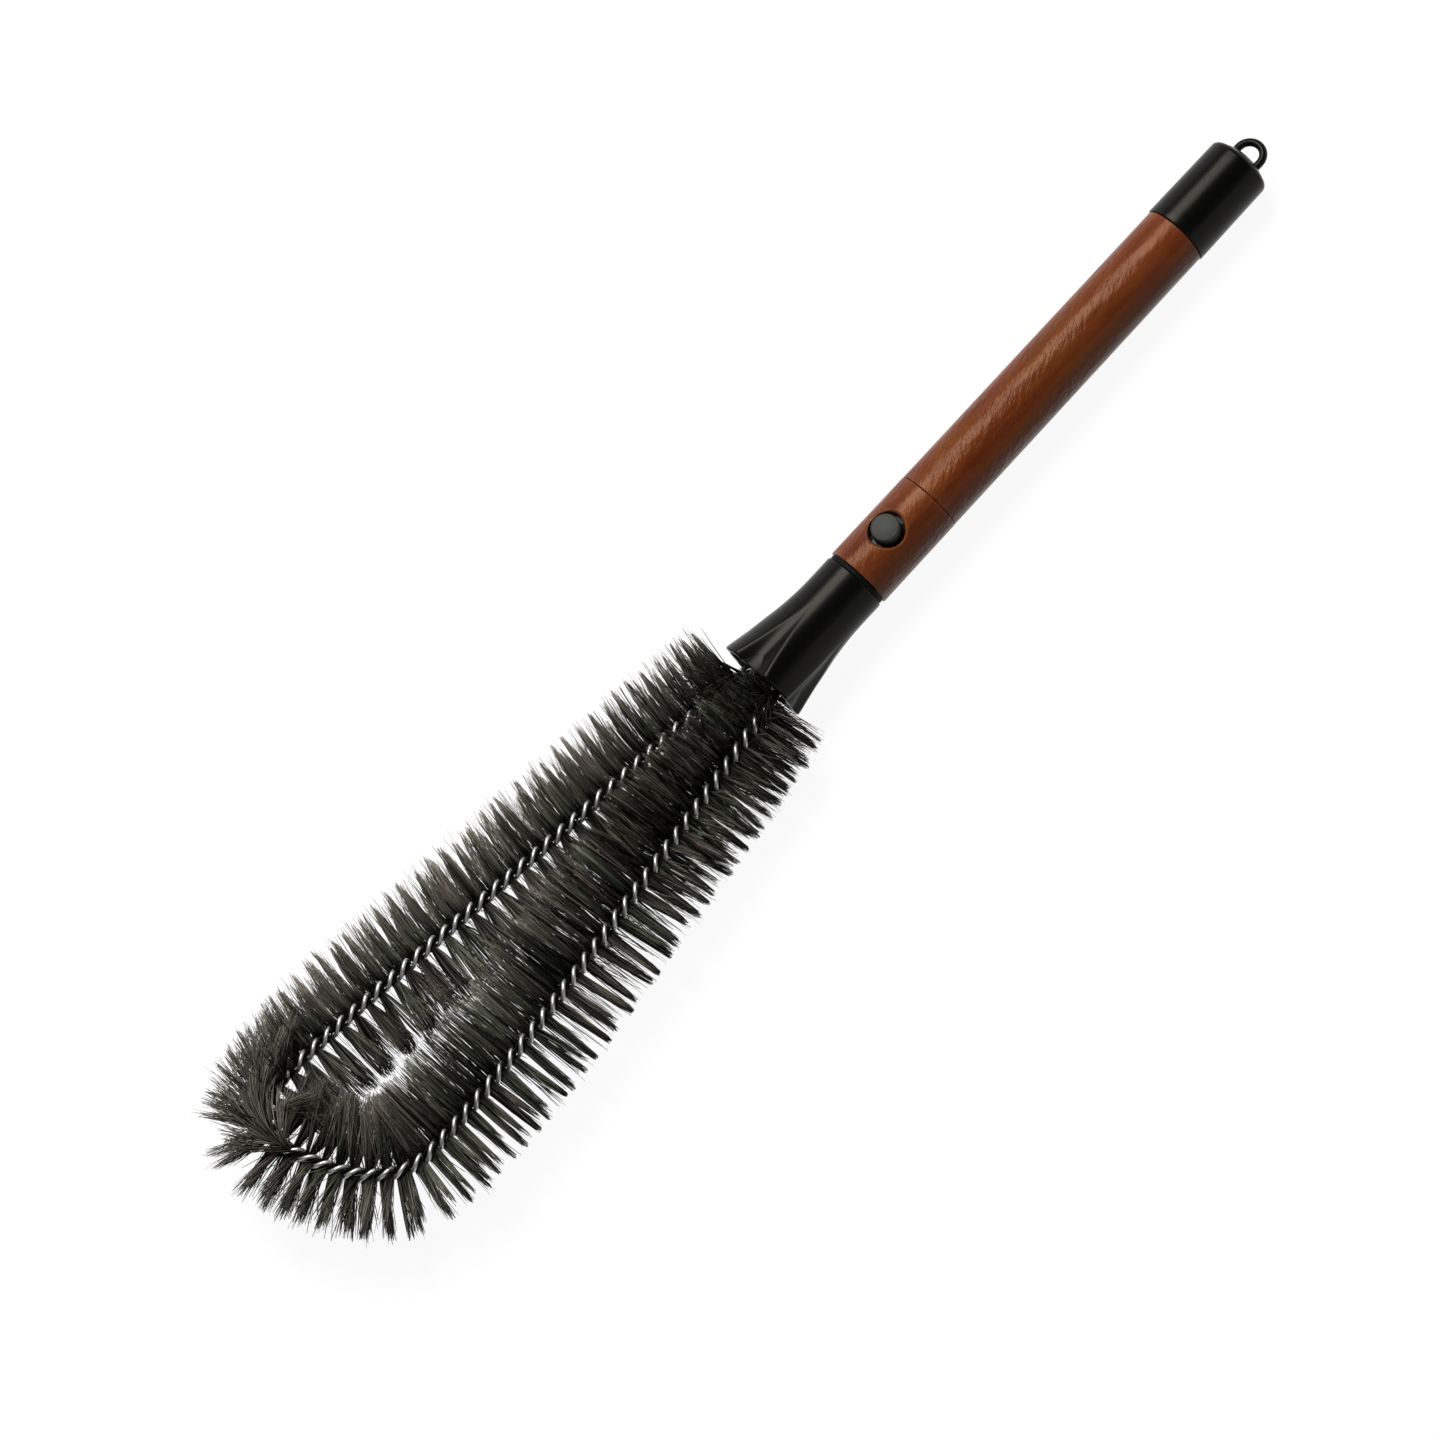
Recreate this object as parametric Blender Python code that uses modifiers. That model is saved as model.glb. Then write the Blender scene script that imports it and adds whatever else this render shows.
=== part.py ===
"""Dusting brush: a twisted wire loop filled with bristles, on a snap-in turned wooden handle.

The handle lies along X and its cap is at +X. The wire loop lies in the XY plane and the
release button faces +Z. Places along the handle are measured from the mouth of the ferrule,
and one parent empty then puts the origin on the seat of the hook in the hang loop.
"""
import math
import random

import bmesh
import bpy
import numpy as np
from mathutils import Matrix, Vector

# Shared sizes, in metres
CLEARANCE = 0.0003          # between pieces that touch
OVERRUN = 0.0030            # how far a cutter runs past what it cuts
MERGE = 0.00001             # vertices nearer than this are one
EDGE_ROUND = 0.0004         # broken edge on turned wood and plastic
ROUND_SIDES = 28            # facets round a turned piece
SMALL_SIDES = 16            # facets round a small pin, sleeve or bore
SMOOTH_ANGLE = math.radians(35)

# Ferrule: a flared bell with four flat flutes
FERRULE_LENGTH = 0.0480
FERRULE_TOP_RADIUS = 0.01225
FERRULE_MOUTH_RADIUS = 0.0175
FERRULE_LIP = 0.0008
FERRULE_FLARE_SHARES = ((0.03, 0.97), (0.22, 0.60), (0.35, 0.41), (0.48, 0.21), (0.67, 0.03))
FERRULE_MOUTH_WALL = 0.0027
FLUTE_COUNT = 4
FLUTE_TURN = math.radians(-5)      # of the first flute, from the button's side
FLUTE_TOP_SHARE = 0.69      # of the ferrule's length, from its mouth
FLUTE_HALF_ANGLE = math.radians(25)
FLUTE_STEPS = 5

# Head core: the moulding that holds the wire ends, the ferrule and the spigot
NECK_WIDTH = 0.0020
NECK_RADIUS = 0.0117
CORE_RADIUS = 0.0104
SPIGOT_RADIUS = 0.0080
SPIGOT_LENGTH = 0.0343
SPIGOT_CHAMFER = 0.0010

# Mouth plug and its screw
PLUG_DEPTH = 0.0070         # from the mouth to the plug's outer face
PLUG_THICKNESS = 0.0053
PLUG_RADIUS = 0.0132
SCREW_RADIUS = 0.0012
SCREW_LENGTH = 0.0180
SCREW_HEAD_RADIUS = 0.0026
SCREW_HEAD_HEIGHT = 0.0018
SCREW_SLOT_WIDTH = 0.0007
SCREW_SLOT_DEPTH = 0.0008

# Twisted wire
STRAND_WIRE_RADIUS = 0.00085
STRAND_TWIST_RADIUS = 0.0016
STRAND_PITCH = 0.0120
STRAND_POINTS_PER_TURN = 6
STEM_SPACING = 0.0120       # between the two stems, inside the ferrule
STEM_LENGTH = 0.0357        # from the mouth to the wire ends
STEM_STRAIGHT_FROM = 0.0060
CRIMP_LENGTH = 0.0080
CRIMP_WALL = 0.0005
CRIMP_CLEARANCE = 0.00015

# Wire loop: its reach from the mouth, half its width, and its course in shares of the two
LOOP_REACH = 0.2320
LOOP_HALF_WIDTH = 0.0300
LEFT_RUN_SHARES = ((0.02, 0.23), (0.14, 0.37), (0.39, 0.575), (0.69, 0.853), (0.86, 0.99))
FAR_END_SHARES = ((0.945, 1.01), (0.985, 0.88), (1.0, 0.62), (0.985, 0.08), (0.962, -0.33),
                  (0.931, -0.66), (0.893, -0.88))
RIGHT_RUN_SHARES = ((0.84, -0.955), (0.63, -0.87), (0.384, -0.65), (0.14, -0.41), (0.02, -0.26))
ROUTE_STEPS = 24            # steps on the centreline between two route points

# Bristles: strands fused to slices of the core that the two wires grip
BRISTLE_REACH = 0.0250      # from the wire's centre to the tips
BRISTLE_START = 0.0045      # first roots, outside the mouth
BRISTLE_SPACING_SHARE = 0.26
BRISTLE_SIDE_SHARE = 0.045  # how much longer the left bristles are, and shorter the right
BRISTLE_LENGTH_JITTER_SHARE = 0.05
BRISTLE_ANGLE_JITTER = math.radians(12)
BRISTLE_LEAN = math.tan(math.radians(3))      # turns the bristles in the loop's plane
BRISTLE_REST_CUT = 0.0005
BRISTLE_LEAST_LENGTH = 0.0035
BRISTLE_LEAST_GAP = 0.0004
STRAND_BODY_RADIUS = 0.00085
STRAND_BODY_SHARE = 0.62
ROOT_HALF_LENGTH = 0.00025  # of the core's face that a strand is drawn out of
BACKING_RADIUS = 0.00036
LEFT_SLICES = 5
END_SLICES = 3
RIGHT_SLICES = 5
SEED = 11

# Handle: collar, grip and the socket tube that joins them
COLLAR_LENGTH = 0.0367
COLLAR_RADIUS = 0.0125
COLLAR_TOP_RADIUS = 0.01238
SOCKET_RADIUS = 0.0083
SOCKET_WALL = 0.0006
SOCKET_LENGTH = 0.0710
GRIP_LENGTH = 0.1289
GRIP_RADIUS = 0.0123
GRIP_CAP_RADIUS = 0.01205
TENON_RADIUS = 0.0106

# End cap and hang loop
CAP_LENGTH = 0.0367         # rim to crown
CAP_RIM_RADIUS = 0.0125
CAP_SHOULDER_RADIUS = 0.0122
CAP_SHOULDER_ROUND = 0.0011
CAP_CROWN_FLAT_RADIUS = 0.0074
CAP_CROWN_RISE = 0.0022
CAP_CROWN_WALL = 0.0030
HANG_WIRE_RADIUS = 0.0015
HANG_BEND_RADIUS = 0.0050
HANG_LEG = 0.0027
HANG_STEPS = 14             # steps round the bend
HANG_BAR_SINK = 0.0002
HANG_FLANGE_THICKNESS = 0.0012
HANG_FLANGE_MARGIN = 0.0012

# Release button, its spring and the retainer under the spring
BUTTON_RADIUS = 0.00525
BUTTON_TOP = 0.0139         # above the handle's axis
BUTTON_DOME = 0.0004
BUTTON_EDGE = 0.0006
BUTTON_CROWN_WALL = 0.0015
BUTTON_TRAVEL = 0.0058
BUTTON_BASE_TOP = 0.0030
BUTTON_BASE_THICKNESS = 0.0010
BUTTON_BASE_LENGTH = 0.0140
BUTTON_PLACE = 0.0678       # from the mouth
BUTTON_HOLE_RADIUS = 0.0067
BUTTON_HOLE_LIP = 0.0011
SPRING_WIRE_RADIUS = 0.00035
SPRING_RADIUS = 0.0034      # outside
SPRING_BORE_CLEARANCE = 0.0005
SPRING_TURNS = 7
SPRING_POINTS_PER_TURN = 8
RETAINER_THICKNESS = 0.0018

# Colours, roughness and metallic value of each finish
FINISHES = {
    "black_plastic": ((0.016, 0.016, 0.014), 0.36, 0.0),
    "button_plastic": ((0.030, 0.036, 0.034), 0.48, 0.0),
    "core_plastic": ((0.012, 0.012, 0.012), 0.55, 0.0),
    "varnished_wood": ((0.155, 0.034, 0.010), 0.34, 0.0),
    "aluminium": ((0.080, 0.080, 0.085), 0.45, 1.0),
    "bright_steel": ((0.60, 0.60, 0.59), 0.25, 1.0),
    "spring_steel": ((0.42, 0.42, 0.43), 0.35, 1.0),
    "bristle": ((0.020, 0.018, 0.016), 0.62, 0.0),
}

# Places along the handle, from the mouth of the ferrule
collar_start = FERRULE_LENGTH + NECK_WIDTH
seam = collar_start + COLLAR_LENGTH
cap_start = seam + GRIP_LENGTH
crown = cap_start + CAP_LENGTH
hook_seat = crown + HANG_LEG + HANG_BEND_RADIUS - HANG_WIRE_RADIUS
plug_back = PLUG_DEPTH + PLUG_THICKNESS
core_start = plug_back + CLEARANCE
spigot_end = collar_start - CLEARANCE + SPIGOT_LENGTH
socket_end = collar_start + SOCKET_LENGTH
loop_flange_top = crown - CAP_CROWN_WALL - CLEARANCE
tenon_end = loop_flange_top - HANG_FLANGE_THICKNESS - CLEARANCE
stem_side = STEM_SPACING / 2
strand_outer_radius = STRAND_TWIST_RADIUS + STRAND_WIRE_RADIUS
crimp_bore = strand_outer_radius + CRIMP_CLEARANCE
crimp_radius = crimp_bore + CRIMP_WALL
stem_bore_end = STEM_LENGTH + STRAND_WIRE_RADIUS + CLEARANCE
socket_outer = SOCKET_RADIUS + SOCKET_WALL
socket_seat = socket_outer + CLEARANCE
button_base_bottom = BUTTON_BASE_TOP - BUTTON_BASE_THICKNESS
retainer_top = button_base_bottom - BUTTON_TRAVEL - CLEARANCE
spring_bore = SPRING_RADIUS + SPRING_BORE_CLEARANCE


def clear_scene():
    for old in list(bpy.data.objects):
        bpy.data.objects.remove(old, do_unlink=True)


def new_collection(name):
    collection = bpy.data.collections.new(name)
    bpy.context.scene.collection.children.link(collection)
    return collection


def finish_material(name, node_name):
    color, roughness, metallic = FINISHES[name]
    made = bpy.data.materials.new(node_name + "_" + name)
    made.use_nodes = True
    shader = made.node_tree.nodes["Principled BSDF"]
    shader.inputs["Base Color"].default_value = (*color, 1.0)
    shader.inputs["Roughness"].default_value = roughness
    shader.inputs["Metallic"].default_value = metallic
    made.diffuse_color = (*color, 1.0)
    return made


def new_object(name, data, collection):
    made = bpy.data.objects.new(name, data)
    collection.objects.link(made)
    return made


def bake(obj):
    """Turn an object with its modifiers, or a curve, into a plain welded mesh object."""
    bpy.context.view_layer.update()
    depsgraph = bpy.context.evaluated_depsgraph_get()
    mesh = bpy.data.meshes.new_from_object(obj.evaluated_get(depsgraph))
    shape = bmesh.new()
    shape.from_mesh(mesh)
    bmesh.ops.remove_doubles(shape, verts=shape.verts, dist=MERGE)
    shape.to_mesh(mesh)
    shape.free()
    baked = bpy.data.objects.new(obj.name, mesh)
    baked.matrix_world = obj.matrix_world.copy()
    for collection in obj.users_collection:
        collection.objects.link(baked)
    name = obj.name
    bpy.data.objects.remove(obj, do_unlink=True)
    baked.name = name
    return baked


def combine(obj, other, operation):
    """Boolean obj with other, which is used up."""
    step = obj.modifiers.new("shape", "BOOLEAN")
    step.operation = operation
    step.solver = "EXACT"
    step.object = other
    name = obj.name
    result = bake(obj)
    bpy.data.objects.remove(other, do_unlink=True)
    result.name = name
    return result


def cut(obj, *cutting):
    for cutter in cutting:
        obj = combine(obj, cutter, "DIFFERENCE")
    return obj


def join(obj, *others):
    for other in others:
        obj = combine(obj, other, "UNION")
    return obj


def tool(obj):
    obj.hide_render = True
    obj.display_type = "WIRE"
    return obj


def turned(name, profile, collection, sides=ROUND_SIDES, axis="X"):
    """Turn a profile of (place, radius) points; it runs top to bottom on its outer side."""
    outline = bpy.data.meshes.new(name)
    points = [(radius, 0, place) for place, radius in profile]
    edges = [(index, index + 1) for index in range(len(points) - 1)]
    if profile[0][1] > 0:
        edges.append((len(points) - 1, 0))
    outline.from_pydata(points, edges, [])
    made = new_object(name, outline, collection)
    screw = made.modifiers.new("turn", "SCREW")
    screw.axis = "Z"
    screw.steps = sides
    screw.render_steps = sides
    screw.use_merge_vertices = True
    screw.merge_threshold = MERGE
    if axis == "X":
        made.rotation_euler = (0, math.pi / 2, 0)
    return bake(made)


def cylinder(name, start, end, radius, collection, sides=SMALL_SIDES, axis="X", centre=(0, 0, 0)):
    profile = [(end, 0), (end, radius), (start, radius), (start, 0)]
    made = turned(name, profile, collection, sides, axis)
    made.location = centre
    return made


def sleeve(name, start, end, bore, radius, collection, sides=SMALL_SIDES, centre=(0, 0, 0)):
    profile = [(end, bore), (end, radius), (start, radius), (start, bore)]
    made = turned(name, profile, collection, sides)
    made.location = centre
    return made


def box(name, low, high, collection):
    mesh = bpy.data.meshes.new(name)
    shape = bmesh.new()
    size = Vector(high) - Vector(low)
    centre = (Vector(high) + Vector(low)) / 2
    bmesh.ops.create_cube(shape, size=1, matrix=Matrix.Translation(centre) @ Matrix.Diagonal((*size, 1)))
    shape.to_mesh(mesh)
    shape.free()
    return new_object(name, mesh, collection)


def tube(name, points, radius, collection, resolution):
    """A round wire through the points, with filled ends."""
    curve = bpy.data.curves.new(name, "CURVE")
    curve.dimensions = "3D"
    curve.bevel_depth = radius
    curve.bevel_resolution = resolution
    curve.use_fill_caps = True
    spline = curve.splines.new("POLY")
    spline.points.add(len(points) - 1)
    for place, point in zip(spline.points, points):
        place.co = (*point, 1)
    return new_object(name, curve, collection)


def quarter(place, radius, size, start, end, steps=3):
    """Points of a rounded edge about (place, radius), from the start to the end angle."""
    angles = [start + (end - start) * step / steps for step in range(steps + 1)]
    return [(place + size * math.sin(angle), radius + size * math.cos(angle)) for angle in angles]


def top_edge(place, radius, size):
    """A rounded edge where a top face at place meets an outer wall at radius."""
    return quarter(place - size, radius - size, size, math.pi / 2, 0)


def bottom_edge(place, radius, size):
    return quarter(place + size, radius - size, size, 0, -math.pi / 2)


class Route:
    """The wire's centreline in the XY plane, read by its length from the left wire end."""

    def __init__(self):
        self.points = self.centreline()
        steps = np.linalg.norm(np.diff(self.points, axis=0), axis=1)
        self.places = np.concatenate(([0], np.cumsum(steps)))
        self.length = self.places[-1]

    @staticmethod
    def centreline():
        shares = LEFT_RUN_SHARES + FAR_END_SHARES + RIGHT_RUN_SHARES
        knots = [(-LOOP_REACH * along, LOOP_HALF_WIDTH * across) for along, across in shares]
        left = [(STEM_LENGTH, stem_side), (STEM_STRAIGHT_FROM, stem_side)]
        right = [(STEM_STRAIGHT_FROM, -stem_side), (STEM_LENGTH, -stem_side)]
        knots = np.array(left + knots + right)
        parts = [knots[:1]]
        for index in range(1, len(knots) - 2):
            before, start, end, after = knots[index - 1:index + 3]
            share = np.linspace(0, 1, ROUTE_STEPS, endpoint=False)[:, None]
            gap = np.linalg.norm(end - start)
            leave = (end - before) / np.linalg.norm(end - before) * gap
            arrive = (after - start) / np.linalg.norm(after - start) * gap
            if index == 1:
                leave = (start - before) / np.linalg.norm(start - before) * gap
            if index == len(knots) - 3:
                arrive = (after - end) / np.linalg.norm(after - end) * gap
            square = share ** 2
            cube = share ** 3
            parts.append(start * (2 * cube - 3 * square + 1) + leave * (cube - 2 * square + share)
                         + end * (3 * square - 2 * cube) + arrive * (cube - square))
        parts.append(knots[-2:])
        return np.concatenate(parts)

    def centre(self, place):
        x = np.interp(place, self.places, self.points[:, 0])
        y = np.interp(place, self.places, self.points[:, 1])
        return np.stack((x, y, np.zeros_like(x)), axis=-1)

    def along(self, place):
        reach = STRAND_TWIST_RADIUS
        step = self.centre(np.asarray(place) + reach) - self.centre(np.asarray(place) - reach)
        return step / np.linalg.norm(step, axis=-1, keepdims=True)

    def aside(self, place):
        """The direction in the plane that is square to the wire, to the left of its course."""
        direction = self.along(place)
        return np.stack((-direction[..., 1], direction[..., 0], np.zeros_like(direction[..., 0])), -1)


def twist_angle(place):
    """How far a left-hand twist has turned at a place on the wire."""
    return -2 * math.pi * place / STRAND_PITCH


def strand_points(route, phase):
    count = int(route.length / STRAND_PITCH * STRAND_POINTS_PER_TURN)
    places = np.linspace(0, route.length, count + 1)
    angle = (twist_angle(places) + phase)[:, None]
    up = np.array((0, 0, 1))
    return route.centre(places) + STRAND_TWIST_RADIUS * (np.cos(angle) * route.aside(places)
                                                         + np.sin(angle) * up)


class Strand:
    """One bristle strand: where it is rooted, which way it points and how long it is."""

    def __init__(self, root_index, face_turn, root, direction, length):
        self.root_index = root_index
        self.face_turn = face_turn
        self.root = root
        self.direction = direction
        self.length = length

    def line(self, first, step):
        """Points along the strand, from the first reach to just past its tip."""
        reach = np.arange(first, self.length + step, step)
        return reach, self.root + reach[:, None] * self.direction

    def inward(self):
        """How strongly the strand points at the middle of the loop; negative points away."""
        half_reach = LOOP_REACH / 2
        toward = np.array((-half_reach, 0, 0)) - self.root
        past_run = max(abs(toward[0]) - half_reach + LOOP_HALF_WIDTH, 0)
        toward[0] = math.copysign(past_run, toward[0])
        return float(self.direction @ toward) / (np.linalg.norm(toward) + MERGE)


class BristlePlan:
    """The roots along the wire, the slices that they stand on and the strands that they carry."""

    def __init__(self, route):
        self.route = route
        self.slices = LEFT_SLICES + END_SLICES + RIGHT_SLICES
        self.first = STEM_LENGTH + BRISTLE_START
        self.slice_length = (route.length - 2 * self.first) / self.slices
        spacing = STRAND_PITCH * BRISTLE_SPACING_SHARE
        count = int(self.slice_length * self.slices / spacing)
        places = [self.first + spacing * (index + 0.5) for index in range(count)]
        self.owners = [int((place - self.first) / self.slice_length) for place in places]
        self.places = [self.clear_of_ends(place, owner) for place, owner in zip(places, self.owners)]
        self.strands = self.trimmed(self.all_strands())

    def slice_ends(self, slice_index):
        start = self.first + self.slice_length * slice_index
        return start + CLEARANCE / 2, start + self.slice_length - CLEARANCE / 2

    def clear_of_ends(self, place, slice_index):
        start, end = self.slice_ends(slice_index)
        room = 2 * ROOT_HALF_LENGTH
        return min(max(place, start + room), end - room)

    def all_strands(self):
        chance = random.Random(SEED)
        up = np.array((0, 0, 1.0))
        strands = []
        for index, place in enumerate(self.places):
            aside = self.route.aside(place)
            along = self.route.along(place)
            for face_turn in (0, 2):
                angle = twist_angle(place) + math.pi / 2 * (1 + face_turn)
                angle += chance.uniform(-BRISTLE_ANGLE_JITTER, BRISTLE_ANGLE_JITTER)
                radial = math.cos(angle) * aside + math.sin(angle) * up
                direction = radial - BRISTLE_LEAN * (radial @ aside) * along
                direction /= np.linalg.norm(direction)
                length = BRISTLE_REACH * (1 + BRISTLE_SIDE_SHARE * radial[1])
                length *= 1 - BRISTLE_LENGTH_JITTER_SHARE * chance.random()
                if direction[2] < 0:
                    length = min(length, (BRISTLE_REACH - BRISTLE_REST_CUT) / -direction[2])
                strands.append(Strand(index, face_turn, self.route.centre(place), direction, length))
        return strands

    def trimmed(self, strands):
        """Shorten each strand that would come near another; those that point inward give way."""
        step = STRAND_BODY_RADIUS
        near = 2 * STRAND_BODY_RADIUS + BRISTLE_LEAST_GAP
        taken = np.zeros((0, 3))
        kept = []
        for strand in sorted(strands, key=Strand.inward):
            reach, points = strand.line(BRISTLE_LEAST_LENGTH / 2, step)
            if len(taken):
                away = np.linalg.norm(points[:, None, :] - taken[None, :, :], axis=2).min(axis=1)
                blocked = np.nonzero(away < near)[0]
                if len(blocked):
                    strand.length = min(strand.length, float(reach[blocked[0]] - step))
            if strand.length >= BRISTLE_LEAST_LENGTH:
                kept.append(strand)
                taken = np.concatenate((taken, strand.line(BRISTLE_LEAST_LENGTH / 2, step)[1]))
        return kept

    def least_gap(self):
        """The least distance between two strands' surfaces outside the wire, measured on points."""
        shares = np.linspace(0, 1, 13)[1:]
        radii = np.interp(shares, (0, STRAND_BODY_SHARE, 1), (BACKING_RADIUS, STRAND_BODY_RADIUS, 0))
        start = strand_outer_radius
        lines = np.array([strand.root + np.outer(start + shares * (strand.length - start),
                                                 strand.direction) for strand in self.strands])
        least = LOOP_REACH
        for index in range(len(lines) - 1):
            apart = np.linalg.norm(lines[index][:, None, None, :] - lines[None, index + 1:], axis=3)
            apart = apart - radii[:, None, None] - radii[None, None, :]
            least = min(least, float(apart.min()))
        return least


def slice_name(slice_index):
    if slice_index < LEFT_SLICES:
        return f"bristles_left_{slice_index + 1}"
    if slice_index < LEFT_SLICES + END_SLICES:
        return f"bristles_end_{slice_index - LEFT_SLICES + 1}"
    return f"bristles_right_{LEFT_SLICES + END_SLICES + RIGHT_SLICES - slice_index}"


def backing_ring(shape, route, place, angle):
    """Four corners of the square core, at a place on the wire."""
    centre = route.centre(place)
    aside = route.aside(place)
    ring = []
    for corner in range(4):
        turn = angle + math.pi / 4 + math.pi / 2 * corner
        point = centre + BACKING_RADIUS * math.cos(turn) * aside
        ring.append(shape.verts.new((point[0], point[1], BACKING_RADIUS * math.sin(turn))))
    return ring


def grow_strand(shape, face, strand, along):
    """Draw one face of the core out into a strand: fuller in the body, pointed at the tip."""
    across = np.cross(strand.direction, along)
    middle = np.array(face.calc_center_median())
    body = bmesh.ops.extrude_discrete_faces(shape, faces=[face])["faces"][0]
    centre = strand.root + strand.direction * strand.length * STRAND_BODY_SHARE
    half_side = STRAND_BODY_RADIUS / math.sqrt(2)
    for corner in body.verts:
        offset = np.array(corner.co) - middle
        corner.co = Vector(centre + half_side * (np.sign(offset @ along) * along
                                                 + np.sign(offset @ across) * across))
    tip = bmesh.ops.extrude_discrete_faces(shape, faces=[body])["faces"][0]
    end = Vector(strand.root + strand.direction * strand.length)
    bmesh.ops.pointmerge(shape, verts=list(tip.verts), merge_co=end)


def make_bristle_slice(plan, slice_index, parts):
    """A square core that follows the wire, with the strands of this slice drawn out of it."""
    roots = [index for index, owner in enumerate(plan.owners) if owner == slice_index]
    start, end = plan.slice_ends(slice_index)
    shape = bmesh.new()
    angles = {index: twist_angle(plan.places[index]) - math.pi / 2 * index for index in roots}
    rings = [backing_ring(shape, plan.route, start, angles[roots[0]])]
    for index in roots:
        for shift in (-ROOT_HALF_LENGTH, ROOT_HALF_LENGTH):
            rings.append(backing_ring(shape, plan.route, plan.places[index] + shift, angles[index]))
    rings.append(backing_ring(shape, plan.route, end, angles[roots[-1]]))
    root_faces = {}
    for number, (lower, upper) in enumerate(zip(rings, rings[1:])):
        for corner in range(4):
            after = (corner + 1) % 4
            face = shape.faces.new((lower[corner], lower[after], upper[after], upper[corner]))
            if number % 2:
                root_faces[roots[number // 2], corner] = face
    shape.faces.new(list(reversed(rings[0])))
    shape.faces.new(rings[-1])
    for strand in plan.strands:
        if plan.owners[strand.root_index] == slice_index:
            face = root_faces[strand.root_index, (strand.root_index + strand.face_turn) % 4]
            grow_strand(shape, face, strand, plan.route.along(plan.places[strand.root_index]))
    name = slice_name(slice_index)
    mesh = bpy.data.meshes.new(name)
    shape.to_mesh(mesh)
    shape.free()
    return new_object(name, mesh, parts)


def make_bristles(route, parts):
    plan = BristlePlan(route)
    print(f"bristle strands {len(plan.strands)}, least gap between two {plan.least_gap() * 1000:.2f} mm")
    return [(make_bristle_slice(plan, slice_index, parts), "bristle") for slice_index in range(plan.slices)]


def make_ferrule(parts, cutters):
    flare = FERRULE_MOUTH_RADIUS - FERRULE_TOP_RADIUS
    outer = [(FERRULE_LENGTH * along, FERRULE_TOP_RADIUS + flare * out)
             for along, out in reversed(FERRULE_FLARE_SHARES)]
    bore = CORE_RADIUS + CLEARANCE
    seat = PLUG_RADIUS + CLEARANCE
    shoulder = plug_back + CLEARANCE
    mouth_bore = FERRULE_MOUTH_RADIUS - FERRULE_MOUTH_WALL
    profile = [(FERRULE_LENGTH, bore)]
    profile += top_edge(FERRULE_LENGTH, FERRULE_TOP_RADIUS, EDGE_ROUND)
    profile += outer
    profile += bottom_edge(0, FERRULE_MOUTH_RADIUS, FERRULE_LIP)
    profile += [(0, mouth_bore), (PLUG_DEPTH, seat), (shoulder, seat), (shoulder, bore)]
    ferrule = turned("ferrule", profile, parts)
    for index in range(FLUTE_COUNT):
        flute = flute_tool(index, cutters)
        ferrule = cut(ferrule, flute)
    return [(ferrule, "black_plastic")]


def flute_tool(index, cutters):
    """A block whose inner face is a flat chord of the bell, widening from a point to the mouth."""
    flare = FERRULE_MOUTH_RADIUS - FERRULE_TOP_RADIUS
    shares = [(0, 1)] + list(FERRULE_FLARE_SHARES) + [(1, 0)]
    top = FERRULE_LENGTH * FLUTE_TOP_SHARE
    face = []
    for step in range(FLUTE_STEPS + 1):
        place = top * (1 - step / FLUTE_STEPS)
        out = np.interp(place / FERRULE_LENGTH, [share[0] for share in shares],
                        [share[1] for share in shares])
        radius = FERRULE_TOP_RADIUS + flare * float(out)
        face.append((place, radius * math.cos(FLUTE_HALF_ANGLE * step / FLUTE_STEPS)))
    low_slope = (face[-1][1] - face[-2][1]) / (face[-2][0] - face[-1][0])
    face.append((-OVERRUN, face[-1][1] + low_slope * OVERRUN))
    outside = FERRULE_MOUTH_RADIUS + OVERRUN
    outline = [(-OVERRUN, outside), (top, outside)] + face
    curve = bpy.data.curves.new("flute", "CURVE")
    curve.dimensions = "2D"
    curve.fill_mode = "BOTH"
    curve.extrude = FERRULE_MOUTH_RADIUS
    spline = curve.splines.new("POLY")
    spline.points.add(len(outline) - 1)
    for place, (along, out) in zip(spline.points, outline):
        place.co = (along, out, 0, 1)
    spline.use_cyclic_u = True
    made = new_object("flute", curve, cutters)
    made.rotation_euler = (math.pi / 2 + FLUTE_TURN + 2 * math.pi * index / FLUTE_COUNT, 0, 0)
    return tool(bake(made))


def make_head_core(parts, cutters):
    neck_low = FERRULE_LENGTH + CLEARANCE
    neck_high = collar_start - CLEARANCE
    profile = [(spigot_end, 0), (spigot_end, SPIGOT_RADIUS - SPIGOT_CHAMFER),
               (spigot_end - SPIGOT_CHAMFER, SPIGOT_RADIUS), (neck_high, SPIGOT_RADIUS),
               (neck_high, NECK_RADIUS), (neck_low, NECK_RADIUS), (neck_low, CORE_RADIUS),
               (core_start, CORE_RADIUS), (core_start, 0)]
    core = turned("head_core", profile, parts)
    for side in (-stem_side, stem_side):
        core = cut(core, tool(cylinder("stem_bore", core_start - OVERRUN, stem_bore_end,
                                       crimp_radius + CLEARANCE, cutters, centre=(0, side, 0))))
    screw_end = PLUG_DEPTH + SCREW_LENGTH
    core = cut(core, tool(cylinder("screw_bore", core_start - OVERRUN, screw_end + CLEARANCE,
                                   SCREW_RADIUS + CLEARANCE, cutters)))
    core = cut(core, tool(cylinder("button_bore", 0, SPIGOT_RADIUS + OVERRUN, BUTTON_RADIUS + CLEARANCE,
                                   cutters, axis="Z", centre=(BUTTON_PLACE, 0, 0))))
    half_length = BUTTON_BASE_LENGTH / 2 + CLEARANCE
    half_width = BUTTON_RADIUS + CLEARANCE
    core = cut(core, tool(box("button_slot", (BUTTON_PLACE - half_length, -half_width,
                                              -SPIGOT_RADIUS - OVERRUN),
                              (BUTTON_PLACE + half_length, half_width, BUTTON_BASE_TOP + CLEARANCE),
                              cutters)))
    return [(core, "core_plastic")]


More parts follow.
